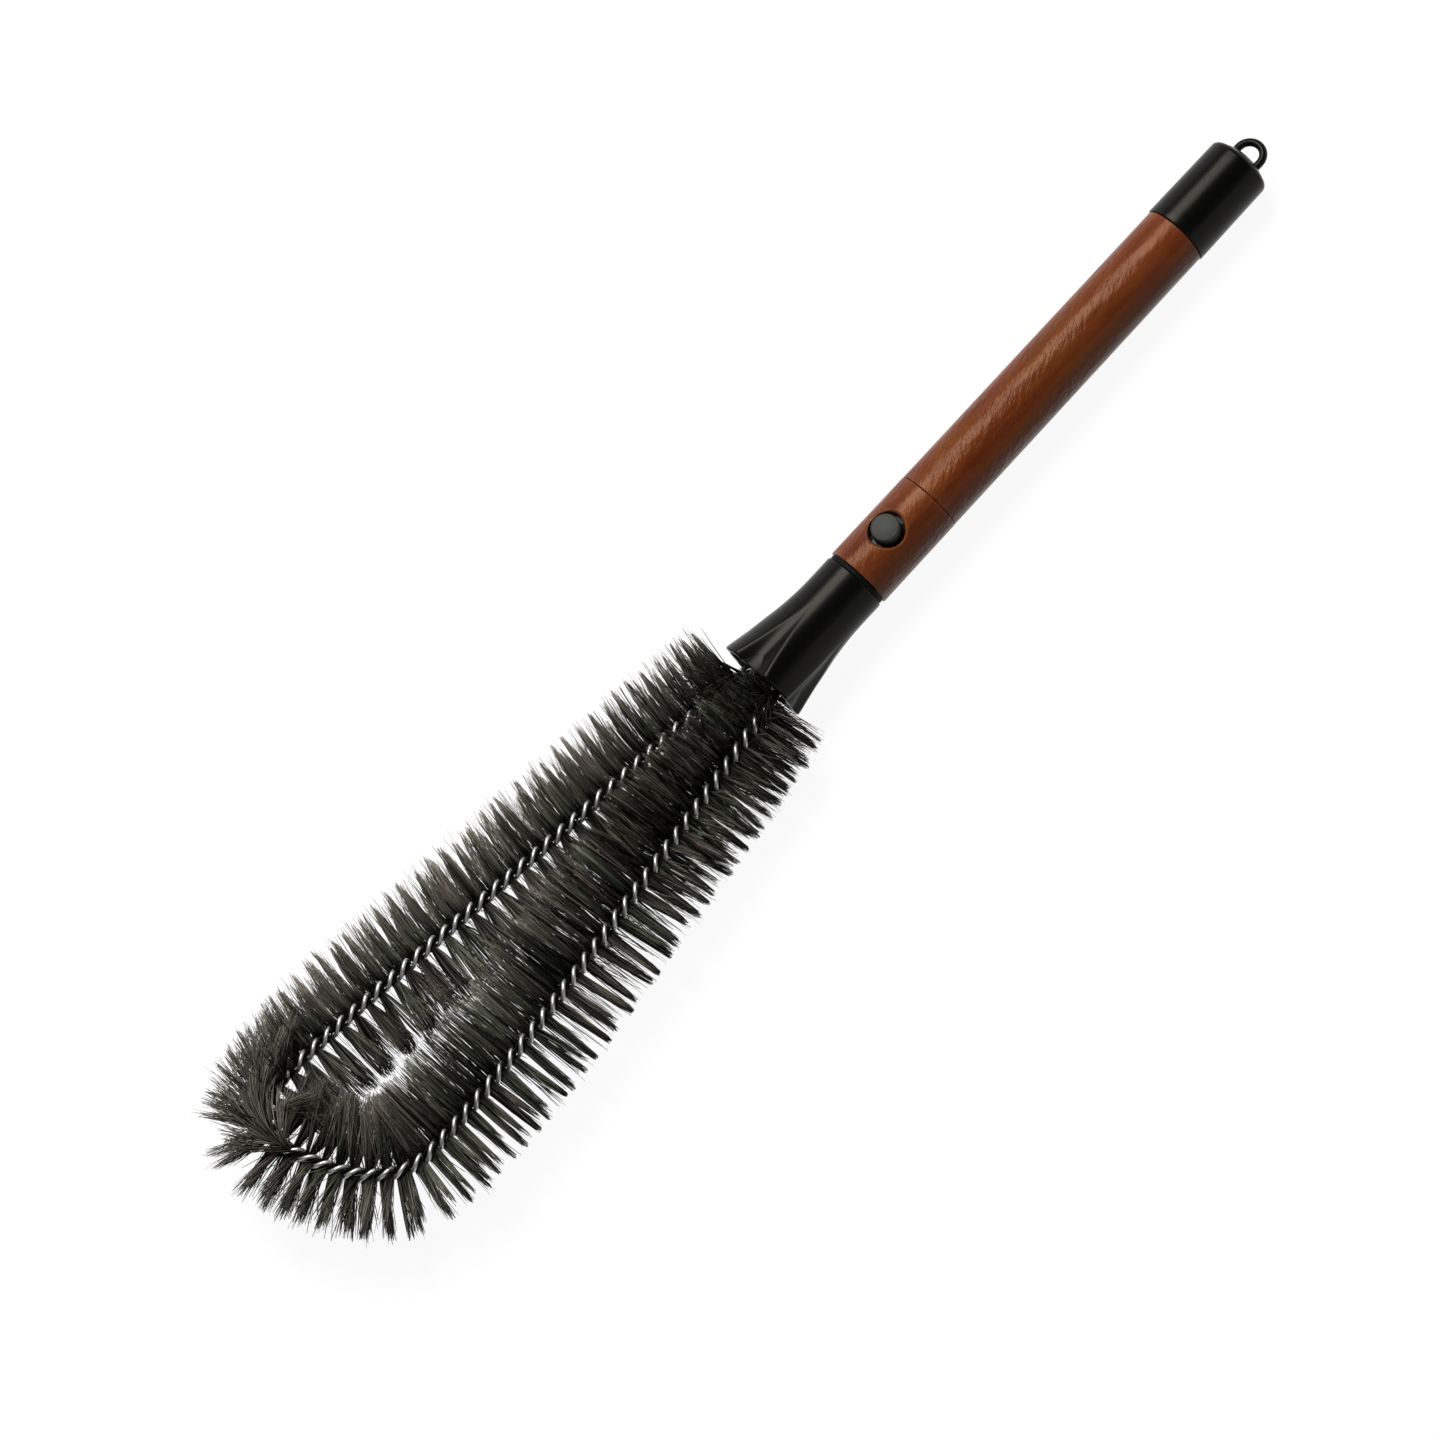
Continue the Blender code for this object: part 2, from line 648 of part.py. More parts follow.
def make_mouth_plug(parts, cutters):
    plug = cylinder("mouth_plug", PLUG_DEPTH, plug_back, PLUG_RADIUS, parts, sides=ROUND_SIDES)
    for side in (-stem_side, stem_side):
        plug = cut(plug, tool(cylinder("stem_hole", PLUG_DEPTH - OVERRUN, plug_back + OVERRUN,
                                       strand_outer_radius + CLEARANCE, cutters, centre=(0, side, 0))))
    plug = cut(plug, tool(cylinder("screw_hole", PLUG_DEPTH - OVERRUN, plug_back + OVERRUN,
                                   SCREW_RADIUS + CLEARANCE, cutters)))
    head = PLUG_DEPTH + SCREW_HEAD_HEIGHT + CLEARANCE
    plug = cut(plug, tool(cylinder("screw_sink", PLUG_DEPTH - OVERRUN, head,
                                   SCREW_HEAD_RADIUS + CLEARANCE, cutters)))
    shank = PLUG_DEPTH + SCREW_HEAD_HEIGHT
    profile = [(PLUG_DEPTH + SCREW_LENGTH, 0), (PLUG_DEPTH + SCREW_LENGTH - SCREW_RADIUS, SCREW_RADIUS),
               (shank, SCREW_RADIUS), (shank, SCREW_HEAD_RADIUS), (PLUG_DEPTH, SCREW_HEAD_RADIUS),
               (PLUG_DEPTH, 0)]
    screw = turned("plug_screw", profile, parts, SMALL_SIDES)
    slot_half = SCREW_SLOT_WIDTH / 2
    screw = cut(screw, tool(box("slot", (PLUG_DEPTH - OVERRUN, -SCREW_HEAD_RADIUS - OVERRUN, -slot_half),
                                (PLUG_DEPTH + SCREW_SLOT_DEPTH, SCREW_HEAD_RADIUS + OVERRUN, slot_half),
                                cutters)))
    return [(plug, "core_plastic"), (screw, "bright_steel")]


def make_wires(route, parts):
    made = []
    for name, phase in (("wire_strand_a", 0), ("wire_strand_b", math.pi)):
        made.append((tube(name, strand_points(route, phase), STRAND_WIRE_RADIUS, parts, 0),
                     "bright_steel"))
    for name, side in (("wire_crimp_left", stem_side), ("wire_crimp_right", -stem_side)):
        made.append((sleeve(name, STEM_LENGTH - CRIMP_LENGTH, STEM_LENGTH, crimp_bore, crimp_radius,
                            parts, centre=(0, side, 0)), "aluminium"))
    return made


def make_socket_tube(parts, cutters):
    socket = sleeve("socket_tube", collar_start, socket_end, SOCKET_RADIUS, socket_outer, parts,
                    sides=ROUND_SIDES)
    socket = cut(socket, tool(cylinder("button_way", 0, socket_outer + OVERRUN,
                                       BUTTON_RADIUS + CLEARANCE, cutters, axis="Z",
                                       centre=(BUTTON_PLACE, 0, 0))))
    return [(socket, "aluminium")]


def make_collar(parts, cutters):
    top = seam - CLEARANCE / 2
    profile = [(top, socket_seat)]
    profile += top_edge(top, COLLAR_TOP_RADIUS, EDGE_ROUND)
    profile += bottom_edge(collar_start, COLLAR_RADIUS, EDGE_ROUND)
    profile += [(collar_start, socket_seat)]
    collar = turned("handle_collar", profile, parts)
    lip_start = math.sqrt(COLLAR_RADIUS ** 2 - BUTTON_HOLE_RADIUS ** 2) - BUTTON_HOLE_LIP / 2
    lip_end = COLLAR_RADIUS + OVERRUN
    lip_radius = BUTTON_HOLE_RADIUS + (lip_end - lip_start) / 2
    hole = turned("button_hole", [(lip_end, 0), (lip_end, lip_radius), (lip_start, BUTTON_HOLE_RADIUS),
                                  (0, BUTTON_HOLE_RADIUS), (0, 0)], cutters, SMALL_SIDES + 4, "Z")
    hole.location = (BUTTON_PLACE, 0, 0)
    return [(cut(collar, tool(hole)), "varnished_wood")]


def make_grip(parts):
    low = seam + CLEARANCE / 2
    profile = [(tenon_end, 0), (tenon_end, TENON_RADIUS - EDGE_ROUND),
               (tenon_end - EDGE_ROUND, TENON_RADIUS), (cap_start, TENON_RADIUS)]
    profile += top_edge(cap_start, GRIP_CAP_RADIUS, EDGE_ROUND)
    profile += bottom_edge(low, GRIP_RADIUS, EDGE_ROUND)
    bore_end = socket_end + CLEARANCE
    profile += [(low, socket_seat), (bore_end, socket_seat), (bore_end, 0)]
    return [(turned("handle_grip", profile, parts), "varnished_wood")]


def make_cap(parts, cutters):
    rim = cap_start + CLEARANCE
    shoulder = crown - CAP_CROWN_RISE
    bore = TENON_RADIUS + CLEARANCE
    ceiling = crown - CAP_CROWN_WALL
    profile = [(crown, 0), (crown, CAP_CROWN_FLAT_RADIUS)]
    profile += quarter(shoulder - CAP_SHOULDER_ROUND, CAP_SHOULDER_RADIUS - CAP_SHOULDER_ROUND,
                       CAP_SHOULDER_ROUND, math.radians(70), 0)
    profile += bottom_edge(rim, CAP_RIM_RADIUS, EDGE_ROUND)
    profile += [(rim, bore), (ceiling, bore), (ceiling, 0)]
    cap = turned("end_cap", profile, parts)
    bar_side = HANG_BEND_RADIUS + HANG_WIRE_RADIUS
    slot_side = bar_side + CLEARANCE
    slot_half = HANG_WIRE_RADIUS + CLEARANCE
    cap = cut(cap, tool(box("loop_slot", (ceiling - OVERRUN, -slot_side, -slot_half),
                            (crown + OVERRUN, slot_side, slot_half), cutters)))
    return [(cap, "black_plastic")]


def make_hang_loop(parts, cutters):
    bend = crown + HANG_LEG
    foot = crown - CAP_CROWN_WALL / 2
    points = [(foot, HANG_BEND_RADIUS, 0)]
    for step in range(HANG_STEPS + 1):
        angle = math.pi * step / HANG_STEPS
        points.append((bend + HANG_BEND_RADIUS * math.sin(angle), HANG_BEND_RADIUS * math.cos(angle), 0))
    points.append((foot, -HANG_BEND_RADIUS, 0))
    loop = bake(tube("hang_loop", points, HANG_WIRE_RADIUS, parts, 3))
    bar_side = HANG_BEND_RADIUS + HANG_WIRE_RADIUS
    flange_bottom = loop_flange_top - HANG_FLANGE_THICKNESS
    bar = tool(box("bar", (flange_bottom, -bar_side, -HANG_WIRE_RADIUS),
                   (crown - HANG_BAR_SINK, bar_side, HANG_WIRE_RADIUS), cutters))
    margin = HANG_FLANGE_MARGIN
    flange = tool(box("flange", (flange_bottom, -bar_side - margin, -HANG_WIRE_RADIUS - margin),
                      (loop_flange_top, bar_side + margin, HANG_WIRE_RADIUS + margin), cutters))
    return [(join(loop, bar, flange), "black_plastic")]


def make_button(parts, cutters):
    bore_top = BUTTON_TOP - BUTTON_CROWN_WALL
    profile = [(BUTTON_TOP, 0), (BUTTON_TOP - BUTTON_DOME / 4, BUTTON_RADIUS / 2)]
    profile += top_edge(BUTTON_TOP - BUTTON_DOME, BUTTON_RADIUS, BUTTON_EDGE)
    profile += [(button_base_bottom, BUTTON_RADIUS), (button_base_bottom, 0)]
    button = turned("release_button", profile, parts, SMALL_SIDES + 4, "Z")
    half_length = BUTTON_BASE_LENGTH / 2
    base = tool(box("base", (-half_length, -BUTTON_RADIUS, button_base_bottom),
                    (half_length, BUTTON_RADIUS, BUTTON_BASE_TOP), cutters))
    button = join(button, base)
    button = cut(button, tool(cylinder("spring_bore", button_base_bottom - OVERRUN, bore_top, spring_bore,
                                       cutters, axis="Z")))
    button.location = (BUTTON_PLACE, 0, 0)
    retainer = box("spring_retainer", (BUTTON_PLACE - half_length, -BUTTON_RADIUS,
                                       retainer_top - RETAINER_THICKNESS),
                   (BUTTON_PLACE + half_length, BUTTON_RADIUS, retainer_top), parts)
    spring = make_spring(retainer_top + CLEARANCE, bore_top - CLEARANCE, parts)
    return [(button, "button_plastic"), (spring, "spring_steel"), (retainer, "core_plastic")]


def make_spring(low, high, parts):
    """An open coil, with its wire's surface from low to high."""
    radius = SPRING_RADIUS - SPRING_WIRE_RADIUS
    count = SPRING_TURNS * SPRING_POINTS_PER_TURN
    rise = high - low - 2 * SPRING_WIRE_RADIUS
    points = []
    for step in range(count + 1):
        angle = 2 * math.pi * step / SPRING_POINTS_PER_TURN
        points.append((BUTTON_PLACE + radius * math.cos(angle), radius * math.sin(angle),
                       low + SPRING_WIRE_RADIUS + rise * step / count))
    turn = Vector(points[SPRING_POINTS_PER_TURN]) - Vector(points[0])
    print(f"spring coil: least gap to itself {(turn.length - 2 * SPRING_WIRE_RADIUS) * 1000:.2f} mm")
    return tube("button_spring", points, SPRING_WIRE_RADIUS, parts, 1)


def main():
    clear_scene()
    parts = new_collection("dusting_brush")
    cutters = new_collection("cutters")
    route = Route()
    pieces = make_ferrule(parts, cutters)
    pieces += make_head_core(parts, cutters)
    pieces += make_mouth_plug(parts, cutters)
    pieces += make_wires(route, parts)
    pieces += make_bristles(route, parts)
    pieces += make_socket_tube(parts, cutters)
    pieces += make_collar(parts, cutters)
    pieces += make_grip(parts)
    pieces += make_cap(parts, cutters)
    pieces += make_hang_loop(parts, cutters)
    pieces += make_button(parts, cutters)
    frame = new_object("brush_frame", None, parts)
    frame.location = (-hook_seat, 0, 0)
    for piece, finish in pieces:
        piece.data.materials.clear()
        piece.data.materials.append(finish_material(finish, piece.name))
        if piece.type == "MESH":
            piece.data.shade_smooth()
            piece.data.set_sharp_from_angle(angle=SMOOTH_ANGLE)
        piece.parent = frame
    bpy.context.view_layer.update()


main()
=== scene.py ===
import math

import bmesh
import bpy
import numpy as np
from mathutils import Matrix, Vector


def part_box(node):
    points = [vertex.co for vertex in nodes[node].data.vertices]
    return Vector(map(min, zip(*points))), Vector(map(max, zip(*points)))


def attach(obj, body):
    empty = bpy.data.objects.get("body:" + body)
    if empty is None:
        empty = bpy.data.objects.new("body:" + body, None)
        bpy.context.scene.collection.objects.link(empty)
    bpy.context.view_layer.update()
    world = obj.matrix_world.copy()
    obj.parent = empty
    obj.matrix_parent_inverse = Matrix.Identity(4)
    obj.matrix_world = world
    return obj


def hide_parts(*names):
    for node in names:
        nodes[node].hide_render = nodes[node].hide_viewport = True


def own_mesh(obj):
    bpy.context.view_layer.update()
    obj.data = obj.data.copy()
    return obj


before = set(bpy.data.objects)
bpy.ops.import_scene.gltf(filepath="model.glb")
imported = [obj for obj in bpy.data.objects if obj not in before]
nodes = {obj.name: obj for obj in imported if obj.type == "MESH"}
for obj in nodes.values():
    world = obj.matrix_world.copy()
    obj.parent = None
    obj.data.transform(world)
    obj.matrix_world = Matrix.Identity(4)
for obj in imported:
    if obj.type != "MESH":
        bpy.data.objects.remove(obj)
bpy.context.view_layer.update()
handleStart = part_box("ferrule")[0].x  # places below are measured from the ferrule's mouth, as on the part
join = np.concatenate
fullTurn = 2 * math.pi
quarterTurn = math.pi / 2
millimetre = 0.001
upward = np.array((0, 0, 1.0))
print("frame: loaded with", len(nodes), "nodes")


class Settings(dict):  # a dictionary whose values are also read as settings.name
    __getattr__ = dict.__getitem__


# Quads of a grid of points: each joins a row and column to the next ones; a closed grid joins the last to the first
def gridFaces(rows, columns, closedRows=False, closedColumns=True):
    row = np.arange(rows - 1 + closedRows)[:, None]
    column = np.arange(columns - 1 + closedColumns)[None]
    corners = [(row + down) % rows * columns + (column + right) % columns
               for down, right in ((0, 0), (0, 1), (1, 1), (1, 0))]
    return np.stack(corners, -1).reshape(-1, 4)


# Whole arrays into a mesh; the corners of a face start where those of the face before it end
def fillMesh(name, points, *faceArrays):
    mesh = bpy.data.meshes.new(name)
    corners = join([faces.ravel() for faces in faceArrays])
    sizes = join([np.full(len(faces), faces.shape[1]) for faces in faceArrays])
    mesh.vertices.add(len(points))
    mesh.vertices.foreach_set("co", points.astype(np.float32).ravel())
    mesh.loops.add(len(corners))
    mesh.loops.foreach_set("vertex_index", corners.astype(np.int32))
    mesh.polygons.add(len(sizes))
    mesh.polygons.foreach_set("loop_start", (np.cumsum(sizes) - sizes).astype(np.int32))
    mesh.update(calc_edges=True)
    return mesh


# Welds the doubled points of seams and poles, and turns the faces so that the volume is positive
def weldOutward(mesh, distance):
    shape = bmesh.new()
    shape.from_mesh(mesh)
    bmesh.ops.remove_doubles(shape, verts=shape.verts, dist=distance)
    bmesh.ops.dissolve_degenerate(shape, edges=shape.edges, dist=distance / 2)
    bmesh.ops.recalc_face_normals(shape, faces=shape.faces)
    if shape.calc_volume(signed=True) < 0:
        bmesh.ops.reverse_faces(shape, faces=shape.faces)
    shape.to_mesh(mesh)
    shape.free()


# A finished piece: smooth up to an angle, with its body, its slot and the node that it stands for
def finishPiece(mesh, node, slot, sharpDegrees=40, body="handle"):
    piece = bpy.data.objects.new(mesh.name, mesh)
    bpy.context.scene.collection.objects.link(piece)
    mesh.shade_smooth()
    if sharpDegrees:
        mesh.set_sharp_from_angle(angle=math.radians(sharpDegrees))
    mesh.materials.append(finishes[slot])
    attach(piece, body)
    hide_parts(node)
    return piece


# A piece from grids of points, one after the other in one mesh; the open ones don't join round
def makePiece(name, grids, node, slot, closedRows=False, openOnes=(), weld=0.000002, **finish):
    faces, count = [], 0
    for index, grid in enumerate(grids):
        faces.append(gridFaces(*grid.shape[:2], closedRows, index not in openOnes) + count)
        count += grid.shape[0] * grid.shape[1]
    mesh = fillMesh(name, join([grid.reshape(-1, 3) for grid in grids]), join(faces))
    weldOutward(mesh, weld)
    return finishPiece(mesh, node, slot, **finish)


# A smooth curve through given values: cubic pieces whose slope at a knot is the mean slope on its two sides
def smoothCurve(place, knots):
    x, y = np.array(knots, float).T
    slope = np.gradient(y, x)
    index = np.clip(np.searchsorted(x, place) - 1, 0, len(x) - 2)
    gap = x[index + 1] - x[index]
    t = np.clip((place - x[index]) / gap, 0, 1)
    rise = (1 - t) ** 2 * (1 + 2 * t) * y[index] + t ** 2 * (3 - 2 * t) * y[index + 1]
    return rise + ((1 - t) ** 2 * t * gap * slope[index] - (1 - t) * t ** 2 * gap * slope[index + 1])


# Corners (place, radius, rounding) into a profile: each rounded corner becomes the curve (1-t)^2 a + 2t(1-t) p + t^2 b,
# where a and b lie the rounding away from corner p towards its neighbours; long straights get points in between
def roundedProfile(corners, longest=0.004, steps=6):
    points = np.array([corner[:2] for corner in corners])
    t = np.linspace(0, 1, steps + 1)[:, None]
    parts = []
    for index, here in enumerate(points):
        rounding = corners[index][2]
        if rounding:
            beside = points[index - 1], points[(index + 1) % len(points)]
            a, b = [here + unit(other - here) * rounding for other in beside]
            parts.append((1 - t) ** 2 * a + 2 * t * (1 - t) * here + t ** 2 * b)
        else:
            parts.append(here[None])
    line = join(parts)
    filled = []
    for start, end in zip(line, line[1:]):
        count = max(1, int(np.linalg.norm(end - start) / longest))
        filled.append(start + (end - start) * np.linspace(0, 1, count, endpoint=False)[:, None])
    return join(filled + [line[-1:]])


# A turned surface about X: the point at profile place p, radius r and angle a is (p, r cos a, r sin a)
def turnedPoints(profile, angles, radii=None):
    radii = profile[:, 1:] if radii is None else radii
    return np.stack((profile[:, :1] + handleStart + 0 * angles, radii * np.cos(angles), radii * np.sin(angles)), -1)


# A round wire: the point at path point c and angle a is c + radius (cos a side + sin a top), where side and top are
# square to the path
def wirePoints(path, radius, sides):
    along = unit(np.gradient(path, axis=0))
    side = unit(np.cross(along, upward))
    top = np.cross(side, along)
    angle = (np.arange(sides) / sides * fullTurn)[:, None]
    return closedEnds(path, path[:, None] + radius * (np.cos(angle) * side[:, None] + np.sin(angle) * top[:, None]))


def unit(vectors):  # each vector divided by its length
    return vectors / np.linalg.norm(vectors, axis=-1, keepdims=True)


def closedEnds(path, rings):  # rings along a path, closed by its first and last point
    first, last = [np.broadcast_to(path[end], rings[:1].shape) for end in (0, -1)]
    return join((first, rings, last))


def pathLengths(path):  # how far along the path each of its points lies
    return join(([0], np.cumsum(np.linalg.norm(np.diff(path, axis=0), axis=1))))


def feed(tree, node, values):  # a value is a socket to link or a plain value, for the input of that name or number
    for name, value in values.items():
        if isinstance(value, bpy.types.NodeSocket):
            tree.links.new(value, node.inputs[name])
        else:
            node.inputs[name].default_value = value
    return node


def addNode(tree, kind, values, **settings):  # the values go to its sockets, the settings on the node itself
    node = tree.nodes.new("ShaderNode" + kind)
    for name, value in settings.items():
        setattr(node, name, value)
    return feed(tree, node, values)


def mixColour(tree, factor, first, second, blend="MIX"):
    return addNode(tree, "Mix", {0: factor, 6: first, 7: second}, data_type="RGBA", blend_type=blend).outputs[2]


def doMath(tree, operation, *values):
    return addNode(tree, "Math", dict(enumerate(values)), operation=operation).outputs[0]


def times(tree, first, second):
    return doMath(tree, "MULTIPLY", first, second)


# Noise of so many blotches a metre, that many times longer along the axes as stretch says, after a turn
def scaledNoise(tree, coordinates, scale, detail, roughness=0.55, stretch=(1, 1, 1), turn=(0, 0, 0)):
    values = {"Vector": coordinates, "Scale": stretch, "Rotation": turn}
    place = addNode(tree, "Mapping", values, vector_type="TEXTURE").outputs[0]
    values = {"Vector": place, "Scale": scale, "Detail": detail, "Roughness": roughness}
    return addNode(tree, "TexNoise", values).outputs["Fac"]


def ramp(tree, factor, low, high, start=0.0, end=1.0):  # from low to high while the factor goes from start to end
    values = {"Value": factor, "From Min": start, "From Max": end, "To Min": low, "To Max": high}
    return addNode(tree, "MapRange", values).outputs[0]


def objectCoordinates(tree):
    return addNode(tree, "TexCoord", {}).outputs["Object"]


# A node group that works out named results from a Vector and named numbers
def newGroup(name, numbers, results):
    group = bpy.data.node_groups.new(name, "ShaderNodeTree")
    group.interface.new_socket(name="Vector", in_out="INPUT", socket_type="NodeSocketVector")
    for label, value in numbers.items():
        group.interface.new_socket(name=label, in_out="INPUT", socket_type="NodeSocketFloat").default_value = value
    for label in results:
        group.interface.new_socket(name=label, in_out="OUTPUT", socket_type="NodeSocketFloat")
    return group, group.nodes.new("NodeGroupInput").outputs, group.nodes.new("NodeGroupOutput")


# Fine skin: a noise gives the height, and with a broad one small changes of roughness and tone
def makeSkinGroup():
    numbers = {"Scale": 900.0, "Roughness": 0.4, "Roughness Change": 0.1, "Tone Change": 0.1}
    group, given, result = newGroup("fineSkin", numbers, ("Height", "Roughness", "Tone"))
    fine = scaledNoise(group, given["Vector"], given["Scale"], 4)
    broad = scaledNoise(group, given["Vector"], 55.0, 3)
    both = doMath(group, "ADD", *(times(group, noise, 0.5) for noise in (fine, broad)))
    shift = doMath(group, "SUBTRACT", both, 0.5)
    rough = doMath(group, "MULTIPLY_ADD", shift, given["Roughness Change"], given["Roughness"])
    tone = doMath(group, "MULTIPLY_ADD", shift, given["Tone Change"], 1.0)
    feed(group, result, {"Height": fine, "Roughness": rough, "Tone": tone})
    return group


# Wear where the surface turns outward past a threshold, broken up by noise
def makeWearGroup():
    group, given, result = newGroup("edgeWear", {"Amount": 0.5}, ("Mask",))
    edge = ramp(group, addNode(group, "NewGeometry", {}).outputs["Pointiness"], 0.0, 1.0, 0.505, 0.56)
    broken = ramp(group, scaledNoise(group, given["Vector"], 300.0, 5), 0.25, 1.0, 0.35, 0.62)
    feed(group, result, {"Mask": times(group, times(group, edge, broken), given["Amount"])})
    return group


# Specks of dust, which are a fine noise cut high, and faint clouds from a broad one
def makeDustGroup():
    group, given, result = newGroup("settledDust", {"Amount": 0.1}, ("Mask",))
    specks = ramp(group, scaledNoise(group, given["Vector"], 1500.0, 2), 0.0, 1.0, 0.66, 0.72)
    cloud = ramp(group, scaledNoise(group, given["Vector"], 42.0, 4), 0.0, 0.6, 0.45, 0.8)
    feed(group, result, {"Mask": times(group, doMath(group, "ADD", specks, cloud), given["Amount"])})
    return group


fineSkin, edgeWear, settledDust = makeSkinGroup(), makeWearGroup(), makeDustGroup()


def newMaterial(name, sockets):
    material = bpy.data.materials.new(name)
    material.use_nodes = True
    tree = material.node_tree
    return material, tree, feed(tree, tree.nodes["Principled BSDF"], sockets)


# The colour times the skin's tone, paler on worn edges and under dust, and the skin's roughness and a height
def coverWithSkin(tree, shader, look, place, colour, height=None):
    values = {"Vector": place, "Scale": look.grain, "Roughness": look.roughness,
              "Roughness Change": look.roughnessChange, "Tone Change": look.toneChange}
    skin = addNode(tree, "Group", values, node_tree=fineSkin).outputs
    colour = mixColour(tree, 1.0, colour, skin["Tone"], "MULTIPLY")
    for group, amount, pale in ((edgeWear, "wear", "wornColour"), (settledDust, "dust", "dustColour")):
        if amount in look:
            values = {"Vector": place, "Amount": look[amount]}
            mask = addNode(tree, "Group", values, node_tree=group).outputs["Mask"]
            colour = mixColour(tree, mask, colour, look[pale])
    values = {"Height": skin["Height"] if height is None else height, "Distance": look.bump, "Strength": 1.0}
    bump = addNode(tree, "Bump", values).outputs[0]
    feed(tree, shader, {"Base Color": colour, "Roughness": skin["Roughness"], "Normal": bump})


def mouldedPlastic(name, look):  # the skin lies evenly over the piece
    material, tree, shader = newMaterial(name, look.sockets)
    coverWithSkin(tree, shader, Settings(look, toneChange=0.5), objectCoordinates(tree), look.colour)
    return material


# Drawn metal: the skin stretched along the wire gives draw lines in tone, roughness and height
def drawnMetal(name, look):
    material, tree, shader = newMaterial(name, {"Metallic": 1.0})
    if look.alongWire:
        source = addNode(tree, "UVMap", {}, uv_map="wireMap").outputs[0]
    else:
        source = objectCoordinates(tree)
    stretched = addNode(tree, "Mapping", {"Vector": source, "Scale": look.stretch}).outputs[0]
    coverWithSkin(tree, shader, Settings(look, toneChange=0.6), stretched, look.colour)
    return material


blackLook = Settings(
    colour=(0.0026, 0.0026, 0.0021, 1), wornColour=(0.022, 0.021, 0.018, 1), dustColour=(0.06, 0.057, 0.05, 1),
    roughness=0.28, roughnessChange=0.06, grain=1400.0, bump=0.00001, wear=0.25, dust=0.02,
    sockets={"Specular IOR Level": 0.125, "Specular Tint": (1.0, 0.96, 0.85, 1)})
buttonLook = Settings(
    colour=(0.026, 0.03, 0.025, 1), wornColour=(0.06, 0.062, 0.055, 1), dustColour=(0.1, 0.095, 0.075, 1),
    roughness=0.5, roughnessChange=0.2, grain=1100.0, bump=0.00004, wear=0.3, dust=0.08,
    sockets={"Specular IOR Level": 0.3, "Specular Tint": (1.0, 0.98, 0.92, 1)})
coreLook = Settings(
    colour=(0.003, 0.003, 0.003, 1), wornColour=(0.012, 0.012, 0.012, 1), dustColour=(0.03, 0.028, 0.025, 1),
    roughness=0.6, roughnessChange=0.2, grain=900.0, bump=0.00004, wear=0.2, dust=0.06,
    sockets={"Specular IOR Level": 0.08, "Specular Tint": (1.0, 1.0, 1.0, 1)})
steelLook = Settings(
    colour=(0.78, 0.775, 0.76, 1), roughness=0.45, roughnessChange=0.16, grain=700.0, stretch=(0.05, 1, 1),
    bump=0.00001, alongWire=True)
screwLook = Settings(
    colour=(0.62, 0.615, 0.6, 1), roughness=0.28, roughnessChange=0.2, grain=900.0, stretch=(1, 1, 1), bump=0.00001,
    alongWire=False)
springLook = Settings(
    colour=(0.42, 0.42, 0.43, 1), roughness=0.35, roughnessChange=0.25, grain=1200.0, stretch=(1, 1, 0.3),
    bump=0.00001, alongWire=False)
tubeLook = Settings(
    colour=(0.03, 0.03, 0.032, 1), roughness=0.45, roughnessChange=0.25, grain=800.0, stretch=(0.08, 1, 1),
    bump=0.00002, alongWire=False)

# The wood's noises: blotches a metre, detail, roughness and stretch along the handle; and the stains that they bring
# in one after the other: low and high share, and the heights of the noise for them
woodLook = Settings(
    dark=(0.11, 0.017, 0.0035, 1), wornColour=(0.42, 0.2, 0.12, 1), dustColour=(0.3, 0.26, 0.2, 1),
    noises={"streak": (170.0, 3, 0.5, (12, 1, 1)), "fibre": (700.0, 4, 0.6, (18, 1, 1)),
            "patch": (50.0, 3, 0.5, (2.0, 1, 1)), "waver": (105.0, 2, 0.45, (3.4, 1, 1)),
            "ripple": (560.0, 3, 0.55, (3.0, 1, 1), (0, 0, math.radians(34.0))),
            "region": (34.0, 2, 0.5, (1.8, 1, 1))},
    stains=(("streak", (0, 1, 0.34, 0.58), (0.168, 0.034, 0.008, 1)),
            ("waver", (0, 0.7, 0.46, 0.68), (0.215, 0.056, 0.013, 1)),
            ("patch", (0, 0.8, 0.52, 0.72), (0.175, 0.05, 0.01, 1)),
            ("fibre", (0.25, 0, 0.36, 0.5), (0.11, 0.017, 0.0035, 1))),
    rippled=(0.25, 1.0, 0.36, 0.52), rippleHeight=0.66, fibreHeight=0.04, roughness=0.29, roughnessChange=0.08,
    toneChange=0.2, grain=520.0, bump=0.0008, wear=0.55, dust=0.02,
    sockets={"Specular IOR Level": 0.27, "Specular Tint": (1.0, 0.6, 0.38, 1), "Coat Weight": 0.02,
             "Coat Roughness": 0.15})


# Stained wood: noises mix dark, middle, light and olive stain. The surface wavers slowly along the handle, with short
# slanting ripples in some regions
def stainedWood(name, look):
    material, tree, shader = newMaterial(name, look.sockets)
    place = objectCoordinates(tree)
    noise = Settings({kind: scaledNoise(tree, place, *values) for kind, values in look.noises.items()})
    colour = look.dark
    for kind, change, stain in look.stains:
        colour = mixColour(tree, ramp(tree, noise[kind], *change), colour, stain)
    ripples = times(tree, noise.ripple, ramp(tree, noise.region, *look.rippled))
    bumps = doMath(tree, "MULTIPLY_ADD", noise.waver, 1.0, times(tree, ripples, look.rippleHeight))
    height = doMath(tree, "ADD", bumps, times(tree, noise.fibre, look.fibreHeight))
    coverWithSkin(tree, shader, look, place, colour, height)
    return material


bristleLook = Settings(
    black=(0.003, 0.003, 0.0026, 1), pale=(0.46, 0.46, 0.44, 1), olive=(0.86, 1.0, 0.74, 1), red=(1.0, 0.8, 0.77, 1),
    tip=(0.3, 0.275, 0.23, 1), roughness=(0.5, 0.7), specular=0.07)


